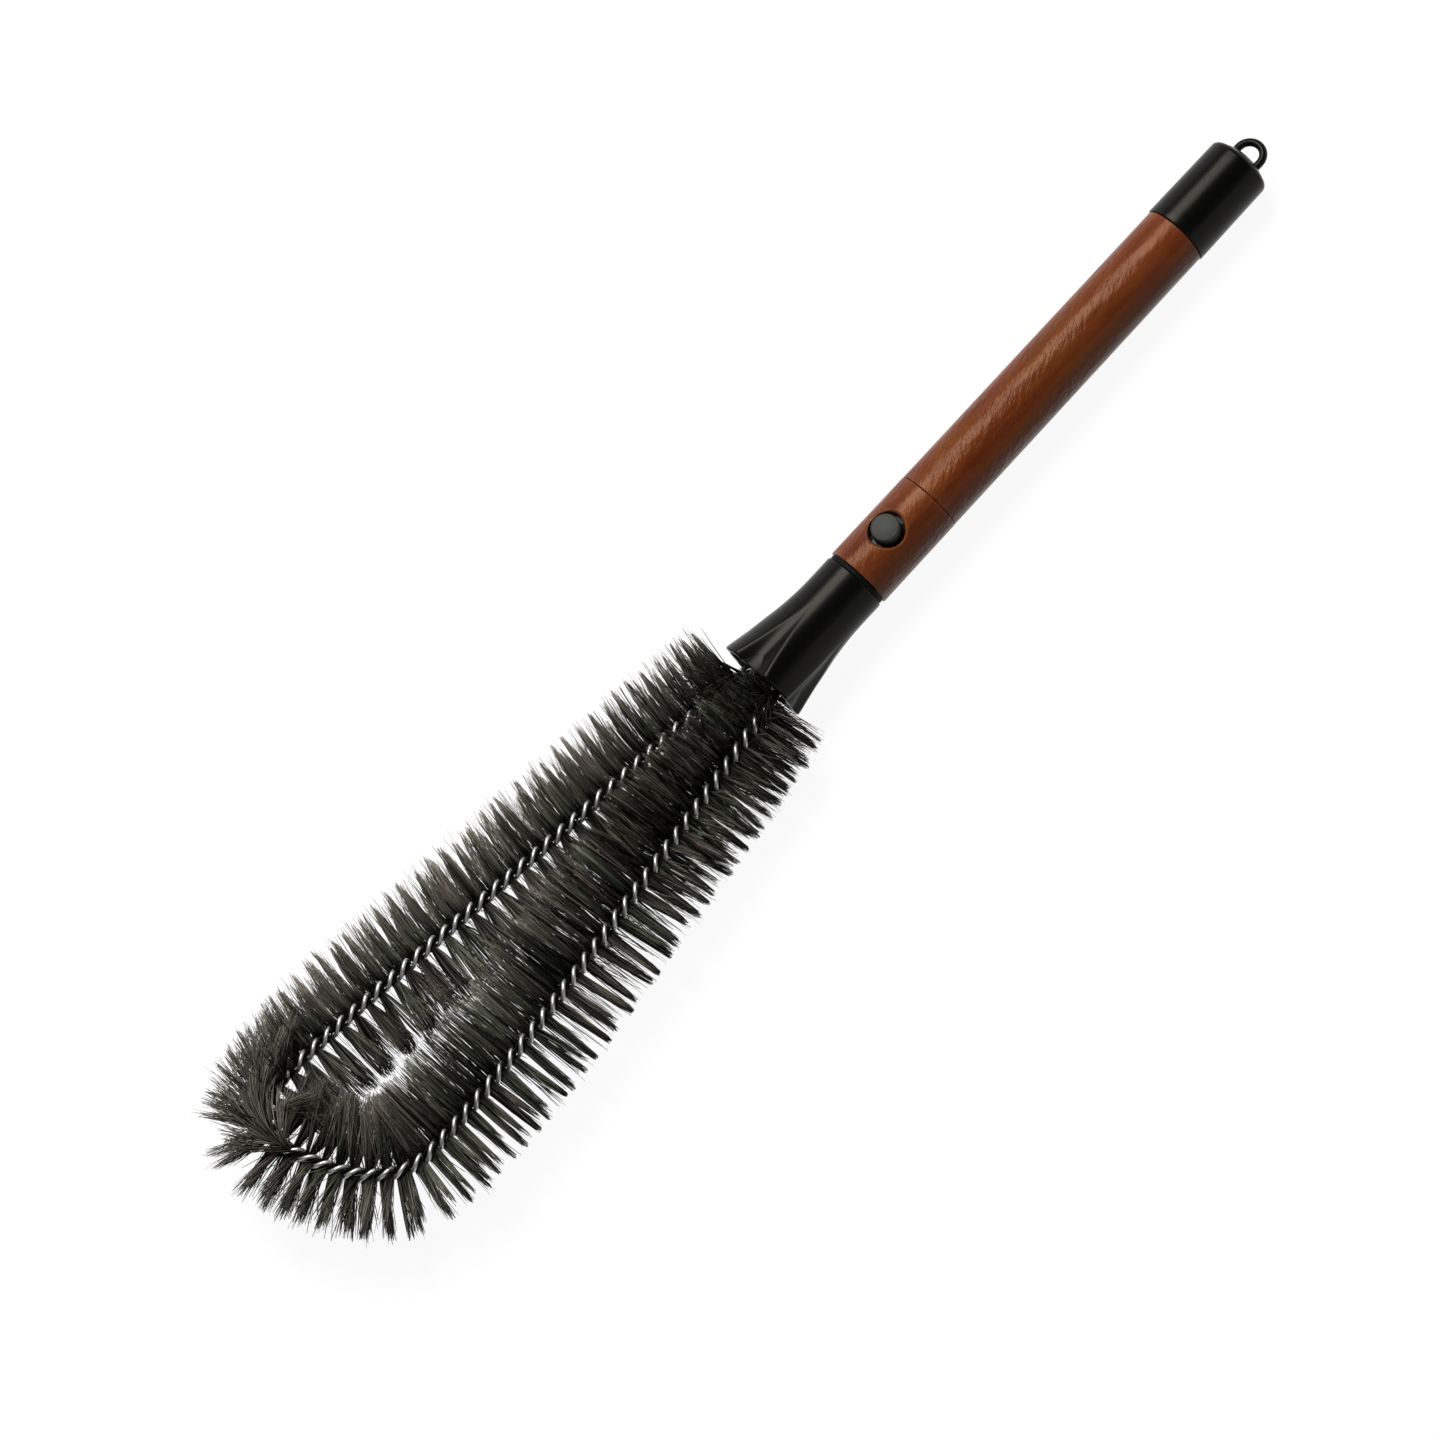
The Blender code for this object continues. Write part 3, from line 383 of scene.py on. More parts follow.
# The piece's attribute holds each point's share of its hair (red), the hair's tone (green), its hue (blue) and how much
# its tip fades (alpha). The tone's square, cut near the roots as painted shade from the wire and the packed hairs,
# goes from black to pale grey, the hue from olive to reddish, and tips fade to grey-brown
def bristleHair(name, look):
    material, tree, shader = newMaterial(name, {"Specular IOR Level": look.specular})
    data = addNode(tree, "Attribute", {}, attribute_name="hairData", attribute_type="GEOMETRY").outputs
    reach, tone, hue = addNode(tree, "SeparateColor", {0: data["Color"]}).outputs
    # painted shade: near the roots the tone falls to 0.55 of itself, standing in for the shadow of the wire and packed
    # hairs
    rootShaded = times(tree, tone, ramp(tree, reach, 0.55, 1.0, 0.05, 0.5))
    toned = mixColour(tree, doMath(tree, "POWER", rootShaded, 2.0), look.black, look.pale)
    tint = mixColour(tree, ramp(tree, hue, 0, 1, 0.25, 0.75), look.olive, look.red)
    tinted = mixColour(tree, 1.0, toned, tint, "MULTIPLY")
    fading = times(tree, ramp(tree, reach, 0, 1, 0.08, 0.95), data["Alpha"])
    fading = times(tree, fading, ramp(tree, tone, 0.08, 0.9, 0.0, 0.66))
    grain = scaledNoise(tree, objectCoordinates(tree), 2500.0, 1)
    feed(tree, shader, {"Base Color": mixColour(tree, fading, tinted, look.tip),
                        "Roughness": ramp(tree, grain, *look.roughness)})
    return material


finishes = {"black_plastic": mouldedPlastic("blackPlastic", blackLook),
            "button_plastic": mouldedPlastic("buttonPlastic", buttonLook),
            "core_plastic": mouldedPlastic("corePlastic", coreLook),
            "bright_steel": drawnMetal("brightSteel", steelLook), "screw": drawnMetal("screwSteel", screwLook),
            "spring_steel": drawnMetal("springSteel", springLook),
            "aluminium": drawnMetal("drawnAluminium", tubeLook),
            "varnished_wood": stainedWood("varnishedWood", woodLook), "bristle": bristleHair("bristle", bristleLook)}
print("materials: made")


view = Settings(
    toCamera=(-0.066, -0.374, 0.925), target=(-0.2783, 0.0017, 0.0), distance=1.4, lens=100.0, handleAngle=47.2)
# Each lamp's size is along the handle and across it; it is aimed at a place on the handle's axis
lamps = {
    "keyLamp": Settings(place=(0.02, 0.62, 1.25), aim=-0.05, size=(0.82, 0.75), watts=20.0, colour=(1.0, 0.985, 0.96)),
    "sideLamp": Settings(place=(-0.3, 1.2, 0.35), aim=-0.26, size=(1.4, 0.5), watts=0.4, colour=(1.0, 0.97, 0.93)),
    "fillLamp": Settings(place=(-0.26, -1.1, 0.7), aim=-0.26, size=(1.2, 0.8), watts=0.35,
                         colour=(0.95, 0.98, 1.0))}
worldLight = {"Color": (1.0, 1.0, 1.0, 1), "Strength": 0.06}


def addObject(name, data):
    made = bpy.data.objects.new(name, data)
    bpy.context.scene.collection.objects.link(made)
    return made


# The camera looks back along toCamera; the handle's direction square to it is turned up by its angle in the image
def placeCamera():
    back = Vector(view.toCamera).normalized()
    level = (Vector((1, 0, 0)) - back * back.x).normalized()
    other = back.cross(level)
    angle = math.radians(view.handleAngle)
    right = math.cos(angle) * level - math.sin(angle) * other
    up = math.sin(angle) * level + math.cos(angle) * other
    camera = addObject("camera", bpy.data.cameras.new("camera"))
    camera.data.lens = view.lens
    camera.data.sensor_width = 36
    camera.data.clip_start = 0.05
    turn = Matrix((right, up, back)).transposed().to_4x4()
    camera.matrix_world = Matrix.Translation(Vector(view.target) + back * view.distance) @ turn
    bpy.context.scene.camera = camera


def placeLamp(name, lamp):
    made = addObject(name, bpy.data.lights.new(name, "AREA"))
    made.data.shape = "RECTANGLE"
    made.data.size, made.data.size_y = lamp.size
    made.data.energy = lamp.watts
    made.data.color = lamp.colour
    made.location = lamp.place
    made.rotation_euler = (Vector((lamp.aim, 0, 0)) - Vector(lamp.place)).to_track_quat("-Z", "Y").to_euler()


placeCamera()
for lampName, lampSettings in lamps.items():
    placeLamp(lampName, lampSettings)
world = bpy.data.worlds.new("studio")
bpy.context.scene.world = world
world.use_nodes = True
feed(world.node_tree, world.node_tree.nodes["Background"], worldLight)

floorLook = Settings(
    radius=3.2, wallRadius=5.0, wallHeight=2.6, low=-0.0254, lowPlace=-0.505, capLow=-0.0129, touchLength=0.5,
    middle=-0.26, colour=(0.14, 0.14, 0.14, 1), glow=0.93, rings=40, sides=96)


# A bowl: flat out to its radius, then rising as the square of the way out; tipped to touch the bristles and the cap
def makeFloor(look):
    radius = np.linspace(0, 1, look.rings)[:, None] * look.wallRadius
    angle = np.arange(look.sides)[None] / look.sides * fullTurn
    rise = np.clip((radius - look.radius) / (look.wallRadius - look.radius), 0, 1)
    x = radius * np.cos(angle) + look.middle
    slope = (look.capLow - look.low) / look.touchLength
    z = look.wallHeight * rise ** 2 + look.low + slope * (x - look.lowPlace)
    points = np.stack((x, radius * np.sin(angle), z), -1).reshape(-1, 3)
    mesh = fillMesh("floor", points, gridFaces(look.rings, look.sides)[:, ::-1])
    mesh.shade_smooth()
    material, tree, shader = newMaterial("paleFloor", {"Roughness": 0.9, "Specular IOR Level": 0.0,
                                                       "Emission Color": (1, 1, 1, 1)})
    shade = ramp(tree, scaledNoise(tree, objectCoordinates(tree), 3.0, 2), 0.97, 1.0, 0.3, 0.7)
    path = addNode(tree, "LightPath", {}).outputs
    seen = doMath(tree, "MAXIMUM", path["Is Camera Ray"], path["Is Glossy Ray"])
    seen = doMath(tree, "MAXIMUM", seen, path["Is Transmission Ray"])
    feed(tree, shader, {"Base Color": mixColour(tree, 1.0, look.colour, shade, "MULTIPLY"),
                        "Emission Strength": times(tree, seen, look.glow)})
    mesh.materials.append(material)
    addObject("floor", mesh)


makeFloor(floorLook)
bpy.context.scene.view_settings.view_transform = "Standard"
print("studio: camera, lamps and floor in place")


ferrule = Settings(
    length=0.048, topRadius=0.01225, mouthRadius=0.0175, topRound=0.0004, lipRound=0.0007,
    flare=((0.0, 1.0), (0.03, 0.965), (0.1, 0.825), (0.22, 0.6), (0.35, 0.41), (0.48, 0.21), (0.6, 0.085),
           (0.7, 0.02), (0.8, 0.0), (1.0, 0.0)),
    fluteCount=4, fluteTurn=-5.0, fluteTop=0.69, leastOpening=0.02, fluteHalfAngle=25.0, fluteDepth=2.5,
    ridgeRound=0.26, bore=0.0107, seat=0.0135, mouthBore=0.0148, mouthEdge=0.0004, plugDepth=0.007, plugBack=0.0126,
    wallShares=(0.988, 0.72, 0.018), topRows=16, rows=90, fluteCells=40, landCells=32, crowding=1.25)


# A flared bell whose flutes widen evenly from their points to the mouth. With k from -1 to 1 across a flute and
# s = 1 - k^2, the wall dips by depth x (s + root(s^2 + e^2)) / 2, so its ridges are rounded
def makeFerrule(bell):
    length, top, mouth, rise, lip = bell.length, bell.topRadius, bell.mouthRadius, bell.topRound, bell.lipRound
    first, bend, last = bell.wallShares
    share = join((np.linspace(first, bend, bell.topRows, endpoint=False), np.linspace(bend, last, bell.rows)))
    cosine, sine = [wave(np.linspace(0, quarterTurn, 6)) for wave in (np.cos, np.sin)]
    outside = join([np.stack(line, 1) for line in (
        (length - rise + rise * cosine, top - rise + rise * sine),
        (share * length, top + (mouth - top) * smoothCurve(share, bell.flare)),
        (lip - lip * sine, mouth - lip + lip * cosine))])
    edge = bell.mouthEdge
    inside = np.array(((0.0, bell.mouthBore + edge), (edge, bell.mouthBore), (bell.plugDepth, bell.seat),
                       (bell.plugBack, bell.seat), (bell.plugBack, bell.bore), (length, bell.bore)))
    opening = np.clip(1 - outside[:, 0] / (length * bell.fluteTop), 0, 1)
    half = (np.radians(bell.fluteHalfAngle) * np.maximum(opening, bell.leastOpening))[:, None]
    across = np.linspace(-1, 1, bell.fluteCells + 1)
    across = np.sign(across) * (1 - (1 - np.abs(across)) ** bell.crowding)
    land = 0.5 - 0.5 * np.cos(np.linspace(0, math.pi, bell.landCells + 1)[1:-1])
    step = fullTurn / bell.fluteCount
    sector = join((half * across, half + (step - 2 * half) * land), 1)
    hollow = 1 - (np.minimum(sector, step - sector) / half) ** 2
    dip = (hollow + np.sqrt(hollow ** 2 + bell.ridgeRound ** 2)) / 2
    depth = outside[:, 1:] * (1 - np.cos(half)) * bell.fluteDepth * (opening > 0)[:, None]
    turns = np.arange(bell.fluteCount) * step + quarterTurn + math.radians(bell.fluteTurn)
    angles = (sector[:, None, :] + turns[None, :, None]).reshape(len(outside), -1)
    radii = np.tile(outside[:, 1:] - depth * dip, (1, bell.fluteCount))
    points = join((turnedPoints(outside, angles, radii), turnedPoints(inside, angles[-1])))
    makePiece("ferrule_bell", [points], "ferrule", "black_plastic", closedRows=True, sharpDegrees=32)


makeFerrule(ferrule)
print("ferrule: made")


wood = Settings(
    collarStart=0.05, seam=0.0867, gripEnd=0.2156, collarRadius=0.0125, collarTopRadius=0.01238, gripRadius=0.0123,
    gripCapRadius=0.01205, bore=0.0092, boreEnd=0.1213, tenonRadius=0.0106, tenonEnd=0.2475, halfGap=0.00015,
    edge=0.00025, boreEdge=0.0001, sides=112)
buttonHole = Settings(
    place=0.0678, radius=0.0067, lip=0.00115, lipDrop=0.9, patch=0.0094, cells=24, lipSteps=7, spread=9, crowding=1.6,
    restCells=88)


# The wood's outer radius falls evenly from the collar's start to its top
def collarRadiusAt(place):
    share = (place - wood.collarStart) / (wood.seam - wood.collarStart)
    return wood.collarRadius + (wood.collarTopRadius - wood.collarRadius) * share


# The collar is welded from turned ends, strips round the back and the patch round the button's hole. Each ray from the
# hole to the patch's square border is one column; its rows go over the wood, down a rounded lip (a quarter ellipse)
# and back along the bore
def makeCollar(hole):
    cells = hole.cells
    low, high = hole.place - hole.patch, hole.place + hole.patch
    halfAngle = hole.patch / wood.collarRadius
    patchAngles = np.linspace(-halfAngle, halfAngle, cells + 1) + quarterTurn
    restAngles = np.linspace(halfAngle, fullTurn - halfAngle, hole.restCells + 1)[1:-1] + quarterTurn
    turnedEnds = []
    for first, last in ((wood.collarStart, low), (wood.seam - wood.halfGap, high)):
        profile = roundedProfile([
            (last, wood.bore, 0), (first, wood.bore, wood.boreEdge), (first, collarRadiusAt(first), wood.edge),
            (last, collarRadiusAt(last), 0)], longest=0.0012)
        turnedEnds.append(turnedPoints(profile, join((patchAngles, restAngles))))
    places = np.linspace(low, high, cells + 1)
    stripAngles = join((patchAngles[-1:], restAngles, patchAngles[:1] + fullTurn))
    strips = [turnedPoints(np.stack((places, radii), 1), stripAngles)
              for radii in (collarRadiusAt(places), np.full(cells + 1, wood.bore))]
    side, one = np.linspace(-1, 1, cells + 1)[:-1], np.ones(cells)
    border = join([np.stack(line) for line in ((-one, side), (side, one), (one, -side), (-side, -one))], 1)
    ray = np.arctan2(border[1], border[0])

    def rowsTo(ringRadius, radiusAt):  # from the border in to a ring round the hole, over a turned surface
        x = hole.place + ringRadius * np.cos(ray)
        turn = np.arcsin(ringRadius * np.sin(ray) / radiusAt(x))
        share = (np.linspace(1, 0, hole.spread) ** hole.crowding)[:, None]
        place = x + (hole.place + hole.patch * border[0] - x) * share
        turn = turn + (halfAngle * border[1] - turn) * share
        return np.stack((place, radiusAt(place) * np.sin(turn), radiusAt(place) * np.cos(turn)), -1)

    dip = np.linspace(0, quarterTurn, hole.lipSteps)[1:, None]
    reach = hole.radius + hole.lip * (1 - np.sin(dip))
    x, y = hole.place + reach * np.cos(ray), reach * np.sin(ray)
    drop = hole.lip * hole.lipDrop * (1 - np.cos(dip))
    lip = np.stack((x, y, np.sqrt(collarRadiusAt(x) ** 2 - y ** 2) - drop), -1)
    patch = join((rowsTo(hole.radius + hole.lip, collarRadiusAt), lip,
                  rowsTo(hole.radius, lambda place: wood.bore + 0 * place)[::-1]))
    patch = patch * (1, -1, 1) + (handleStart, 0, 0)
    makePiece("collar_wood", turnedEnds + strips + [patch], "handle_collar", "varnished_wood", openOnes=(2, 3),
              weld=0.000004)


# The grip is one turned profile, from the tenon's end over the outside to the bottom of its blind bore
def makeGrip():
    low, top, end, tenon, edge = wood.seam + wood.halfGap, wood.gripEnd, wood.tenonEnd, wood.tenonRadius, wood.edge
    profile = roundedProfile([
        (end, 0, 0), (end, tenon, edge), (top, tenon, wood.boreEdge), (top, wood.gripCapRadius, edge),
        (low, wood.gripRadius, edge), (low, wood.bore, wood.boreEdge), (wood.boreEnd, wood.bore, 0),
        (wood.boreEnd, 0, 0)])
    points = turnedPoints(profile, np.arange(wood.sides) / wood.sides * fullTurn)
    makePiece("grip_wood", [points], "handle_grip", "varnished_wood")


makeCollar(buttonHole)
makeGrip()
print("wooden handle: made")


cap = Settings(
    rim=0.2159, crown=0.2523, rimRadius=0.0125, rimEdge=0.0004, shoulderRadius=0.0122, shoulderEdge=0.0006,
    shoulderDrop=0.0008, stepRadius=0.0115, stepRise=0.0002, stepEdge=0.0003, crownRise=0.0022, crownRadius=0.0074,
    crownEdge=0.0002, crownFlat=0.96, bore=0.0109, boreEdge=0.0001, crownWall=0.003, slot=(0.0068, 0.0018),
    slotCells=(6, 40))
hangLoop = Settings(
    wireRadius=0.0015, bendRadius=0.005, leg=0.0027, legEnd=0.6, foot=0.0015, barTop=0.0002, flange=0.0012,
    flangeGap=0.0003, flangeEdge=0.0002, margin=0.0012, sides=20, bendSteps=36, barCells=(6, 24))
tiny = 0.000001  # keeps a division by a zero cosine or sine finite


# Directions that pass through the corners of a rectangle, and its border there: the direction x the smaller of
# halfLength/|cos| and halfWidth/|sin|
def rectangleRing(halfLength, halfWidth, endCells, sideCells):
    corner = math.atan2(halfWidth, halfLength)
    ends = np.linspace(-corner, corner, endCells, endpoint=False)
    sides = np.linspace(corner, math.pi - corner, sideCells, endpoint=False)
    angles = join((ends, sides, ends + math.pi, sides + math.pi))
    cosine, sine = np.cos(angles), np.sin(angles)
    reach = np.minimum(halfLength / np.abs(cosine).clip(tiny), halfWidth / np.abs(sine).clip(tiny))
    return angles, np.stack((reach * cosine, reach * sine), 1)


def ringStack(rings, axis):  # flat rings, each at its own place along the axis
    return np.stack([np.insert(ring, axis, place, 1) for place, ring in rings])


# The cap is one closed profile of circles, apart from its first two rows, which are the loop's slot
def makeCap():
    angles, slot = rectangleRing(*cap.slot, *cap.slotCells)
    crown, rim, shoulder, ceiling = cap.crown, cap.rim, cap.crown - cap.crownRise, cap.crown - cap.crownWall
    profile = roundedProfile([
        (crown, cap.crownRadius * cap.crownFlat, 0), (crown, cap.crownRadius, cap.crownEdge),
        (shoulder + cap.stepRise, cap.stepRadius, cap.stepEdge),
        (shoulder - cap.shoulderDrop, cap.shoulderRadius, cap.shoulderEdge), (rim, cap.rimRadius, cap.rimEdge),
        (rim, cap.bore, cap.boreEdge), (ceiling, cap.bore, 0), (ceiling, cap.crownRadius, 0)], longest=0.003)
    slots = ringStack([(place + handleStart, slot) for place in (ceiling, crown)], 0)
    points = join((slots, turnedPoints(profile, angles)))
    makePiece("cap_shell", [points], "end_cap", "black_plastic", closedRows=True, sharpDegrees=35)


# The loop is a round wire bent half round between two legs; its bar and flange are one stack of rectangles
def makeHangLoop(loop):
    crown = cap.crown + handleStart
    bend = np.linspace(0, math.pi, loop.bendSteps)
    arch = np.stack((crown + loop.leg + loop.bendRadius * np.sin(bend), loop.bendRadius * np.cos(bend), 0 * bend), 1)
    legs = [np.array([(place, sign * loop.bendRadius, 0.0)
                      for place in (crown - loop.foot, crown, crown + loop.leg * loop.legEnd)]) for sign in (1, -1)]
    wire = wirePoints(join((legs[0], arch, legs[1][::-1])), loop.wireRadius, loop.sides)
    barTop, flangeTop, edge = crown - loop.barTop, crown - cap.crownWall - loop.flangeGap, loop.flangeEdge
    rings = []
    for place, margin in ((barTop, -edge), (barTop - edge, 0), (flangeTop, 0), (flangeTop, loop.margin - edge),
                          (flangeTop - edge, loop.margin), (flangeTop - loop.flange, loop.margin)):
        halfLength, halfWidth = loop.bendRadius + loop.wireRadius + margin, loop.wireRadius + margin
        rings.append((place, rectangleRing(halfLength, halfWidth, *loop.barCells)[1]))
    first, last = [(place, 0 * ring) for place, ring in (rings[0], rings[-1])]
    makePiece("hang_eye", [wire, ringStack([first] + rings + [last], 0)], "hang_loop", "black_plastic")


makeCap()
makeHangLoop(hangLoop)
print("cap and hang loop: made")


button = Settings(
    place=0.0678, radius=0.00525, top=0.0139, dome=0.0004, edge=0.0007, wall=0.0015, baseTop=0.003, baseLow=0.002,
    baseHalfLength=0.007, springBore=0.0039, cells=(10, 18), edgeSteps=7, domeShares=(0.8, 0.6, 0.4, 0.2, 0.0))
spring = Settings(wireRadius=0.00035, radius=0.00305, turns=7, pointsPerTurn=24, sides=10, travel=0.0058)


# One stack of rings round Z: the spring's bore, the base (rectangles), the shank (circles) and the low dome, whose
# height falls with the square of the way out
def makeButton():
    angles, slab = rectangleRing(button.baseHalfLength, button.radius, *button.cells)
    circle = np.stack((np.cos(angles), np.sin(angles)), 1)
    radius, edge, low, base = button.radius, button.edge, button.baseLow, button.baseTop
    ceiling, bore, shoulder = button.top - button.wall, button.springBore * circle, button.top - button.dome
    rings = [(ceiling, 0 * circle), (ceiling, bore), (low, bore), (low, slab), (base, slab), (base, radius * circle),
             (shoulder - edge, radius * circle)]
    rings += [(shoulder - edge + edge * math.sin(turn), (radius - edge + edge * math.cos(turn)) * circle)
              for turn in np.linspace(0, quarterTurn, button.edgeSteps)[1:]]
    rings += [(button.top - button.dome * share ** 2, (radius - edge) * share * circle) for share in button.domeShares]
    points = ringStack(rings, 2) + (button.place + handleStart, 0, 0)
    makePiece("button_cap", [points], "release_button", "button_plastic", sharpDegrees=35, body="button")


# A wire along a helix, x = radius cos a, y = radius sin a, while z rises evenly from the imported coil's foot to its
# top
def makeSpring(middle):
    low, high = [corner.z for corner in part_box("button_spring")]
    count = spring.turns * spring.pointsPerTurn + 1
    angle = np.linspace(0, spring.turns * fullTurn, count)
    height = np.linspace(low + spring.wireRadius, high - spring.wireRadius, count)
    path = np.stack((middle + spring.radius * np.cos(angle), spring.radius * np.sin(angle), height), 1)
    points = wirePoints(path, spring.wireRadius, spring.sides)
    coil = makePiece("button_coil", [points], "button_spring", "spring_steel")
    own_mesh(coil)


makeButton()
makeSpring(button.place + handleStart)
print("release button and its spring: made")


# The knots of the wire's run are shares of the loop's reach and half width
wire = Settings(
    loopReach=0.232, loopHalfWidth=0.03, radius=0.00085, twistRadius=0.0016, pitch=0.012, stemEnd=0.0357,
    stemStraight=0.006, stemSide=0.006,
    leftRun=((0.02, 0.23), (0.14, 0.37), (0.39, 0.575), (0.69, 0.853), (0.86, 0.99)),
    farEnd=((0.945, 1.01), (0.985, 0.88), (1.0, 0.62), (0.985, 0.08), (0.962, -0.33), (0.931, -0.66), (0.893, -0.88)),
    rightRun=((0.84, -0.955), (0.63, -0.87), (0.384, -0.65), (0.14, -0.41), (0.02, -0.26)),
    routeSteps=24, sides=12, pointsPerTurn=24, mapRadius=0.0006)


# The wire's middle line: cubic pieces that leave each knot along the line between the knots on its two sides
def makeRoute():
    knots = np.array(wire.leftRun + wire.farEnd + wire.rightRun) * (-wire.loopReach, wire.loopHalfWidth)
    left = [(wire.stemEnd, wire.stemSide), (wire.stemStraight, wire.stemSide)]
    knots = join((left, knots, [(x, -y) for x, y in left[::-1]]))
    t = np.linspace(0, 1, wire.routeSteps, endpoint=False)[:, None]
    before, start, end, after = knots[:-3], knots[1:-2], knots[2:-1], knots[3:]
    gap = np.linalg.norm(end - start, axis=1, keepdims=True)
    leave, arrive = unit(end - before), unit(after - start)
    leave[0], arrive[-1] = unit(start[0] - before[0]), unit(after[-1] - end[-1])
    square, cube = t ** 2, t ** 3
    pieces = (start[:, None] * (2 * cube - 3 * square + 1) + (leave * gap)[:, None] * (cube - 2 * square + t)
              + end[:, None] * (3 * square - 2 * cube) + (arrive * gap)[:, None] * (cube - square))
    line = join((knots[:1], pieces.reshape(-1, 2), knots[-2:]))
    return pathLengths(line), line


routePlaces, routeLine = makeRoute()
routeLength = routePlaces[-1]


def routeCentre(place):  # a point on the middle line, in the frame's own coordinates
    x, y = [np.interp(place, routePlaces, values) for values in routeLine.T]
    return np.stack((x + handleStart, y, 0 * x), -1)


def routeAlong(place):  # the direction of the line, from two points the twist's radius away
    return unit(routeCentre(place + wire.twistRadius) - routeCentre(place - wire.twistRadius))


def routeAside(place):  # square to the line in the plane, to the left of its course
    along = routeAlong(place)
    return np.stack((-along[..., 1], along[..., 0], 0 * along[..., 0]), -1)


# The index of the path point nearest to each spot, in blocks that keep the table of distances small
def nearestOnPath(spots, path, blockSize=2000):
    blocks = np.array_split(spots, max(1, len(spots) // blockSize))
    return join([((block[:, None] - path[None]) ** 2).sum(2).argmin(1) for block in blocks])


# A strand's middle line is the route plus the twist's radius x (cos a aside + sin a up), with a falling along the way
# for a left-hand twist. Its map holds the way along the wire and round it
def makeStrand(name, phase, node):
    place = np.linspace(0, routeLength, int(routeLength / wire.pitch * wire.pointsPerTurn) + 1)
    angle = (-fullTurn * place / wire.pitch + phase)[:, None]
    path = routeCentre(place) + wire.twistRadius * (np.cos(angle) * routeAside(place) + np.sin(angle) * upward)
    points = wirePoints(path, wire.radius, wire.sides)
    mesh = makePiece(name, [points], node, "bright_steel", sharpDegrees=50).data
    corners = np.zeros(len(mesh.loops), np.int32)
    mesh.loops.foreach_get("vertex_index", corners)
    spots = np.zeros(len(mesh.vertices) * 3, np.float32)
    mesh.vertices.foreach_get("co", spots)
    spots = spots.reshape(-1, 3)
    nearest = nearestOnPath(spots, path)
    turn = (spots - path[nearest]) / wire.radius
    values = np.stack((pathLengths(path)[nearest], wire.mapRadius * np.arctan2(turn[:, 2], turn[:, 1])), 1)
    mesh.uv_layers.new(name="wireMap").data.foreach_set("uv", values[corners].astype(np.float32).ravel())


makeStrand("wire_twist_a", 0.0, "wire_strand_a")
makeStrand("wire_twist_b", math.pi, "wire_strand_b")
print("twisted wire: made, middle line", round(routeLength * 1000), "mm")


hair = Settings(
    slices=("left_1", "left_2", "left_3", "left_4", "left_5", "end_1", "end_2", "end_3", "right_5", "right_4",
            "right_3", "right_2", "right_1"),
    # how near the wire's ends hairs are rooted: outside on the left and right, inside or steep, and inside and flat
    first=0.0402, firstRight=0.0384, firstInside=0.0366, firstFlat=0.034, steep=0.8, flat=0.35, earlyStart=0.01,
    tuftSpacing=0.006, reach=0.025, sideShare=0.045, innerReach=0.0274, innerSideShare=0.06, reachUp=0.0247,
    corner=0.3, lockHairs=76, strands=5, flatten=0.46, lockTilt=0.12, lockDepth=0.14, wobble=0.0007,
    hairRadius=0.0002, steps=4, sides=3, bandHalfWidth=0.0021, bandHalfThickness=0.00034, bandStep=0.0005,
    bandEnd=0.00015, rootOut=0.0003, leastFlat=0.3, shortest=1.6, strandTone=0.68, hairTone=0.16, tuftTone=0.08,
    swirlHue=0.6, tuftHue=0.7, curl=0.001, seed=5, bends=(0.5, 1.5), girths=(0.75, 1.2), lockShade=0.75,
    # bandPaint: the band's plain dark paint, partly painted shade between the wire's strands
    taper=((0, 0.7, 1.0), (1.0, 0.9, 0.45)), upright=0.9, bandPaint=(0.0, 0.1, 0.5, 0.0), aloneSpread=0.95,
    aloneTilt=0.1, aloneLoose=2, aloneGirths=(0.8, 1.2))
# Hairs that stand alone: the share that they keep of the twist's turn, and how long, thick and pale they are
singles = {"round": Settings(keep=1.0, lengths=(0.86, 1.0), thickness=1.0, tones=(0.05, 0.55)),
           "thin": Settings(keep=0.5, lengths=(0.65, 1.03), thickness=0.6, tones=(0.45, 1.0))}
room = Settings(step=0.002, least=0.004, most=0.03, probe=0.0005, clearance=0.0034, ownStretch=0.015)
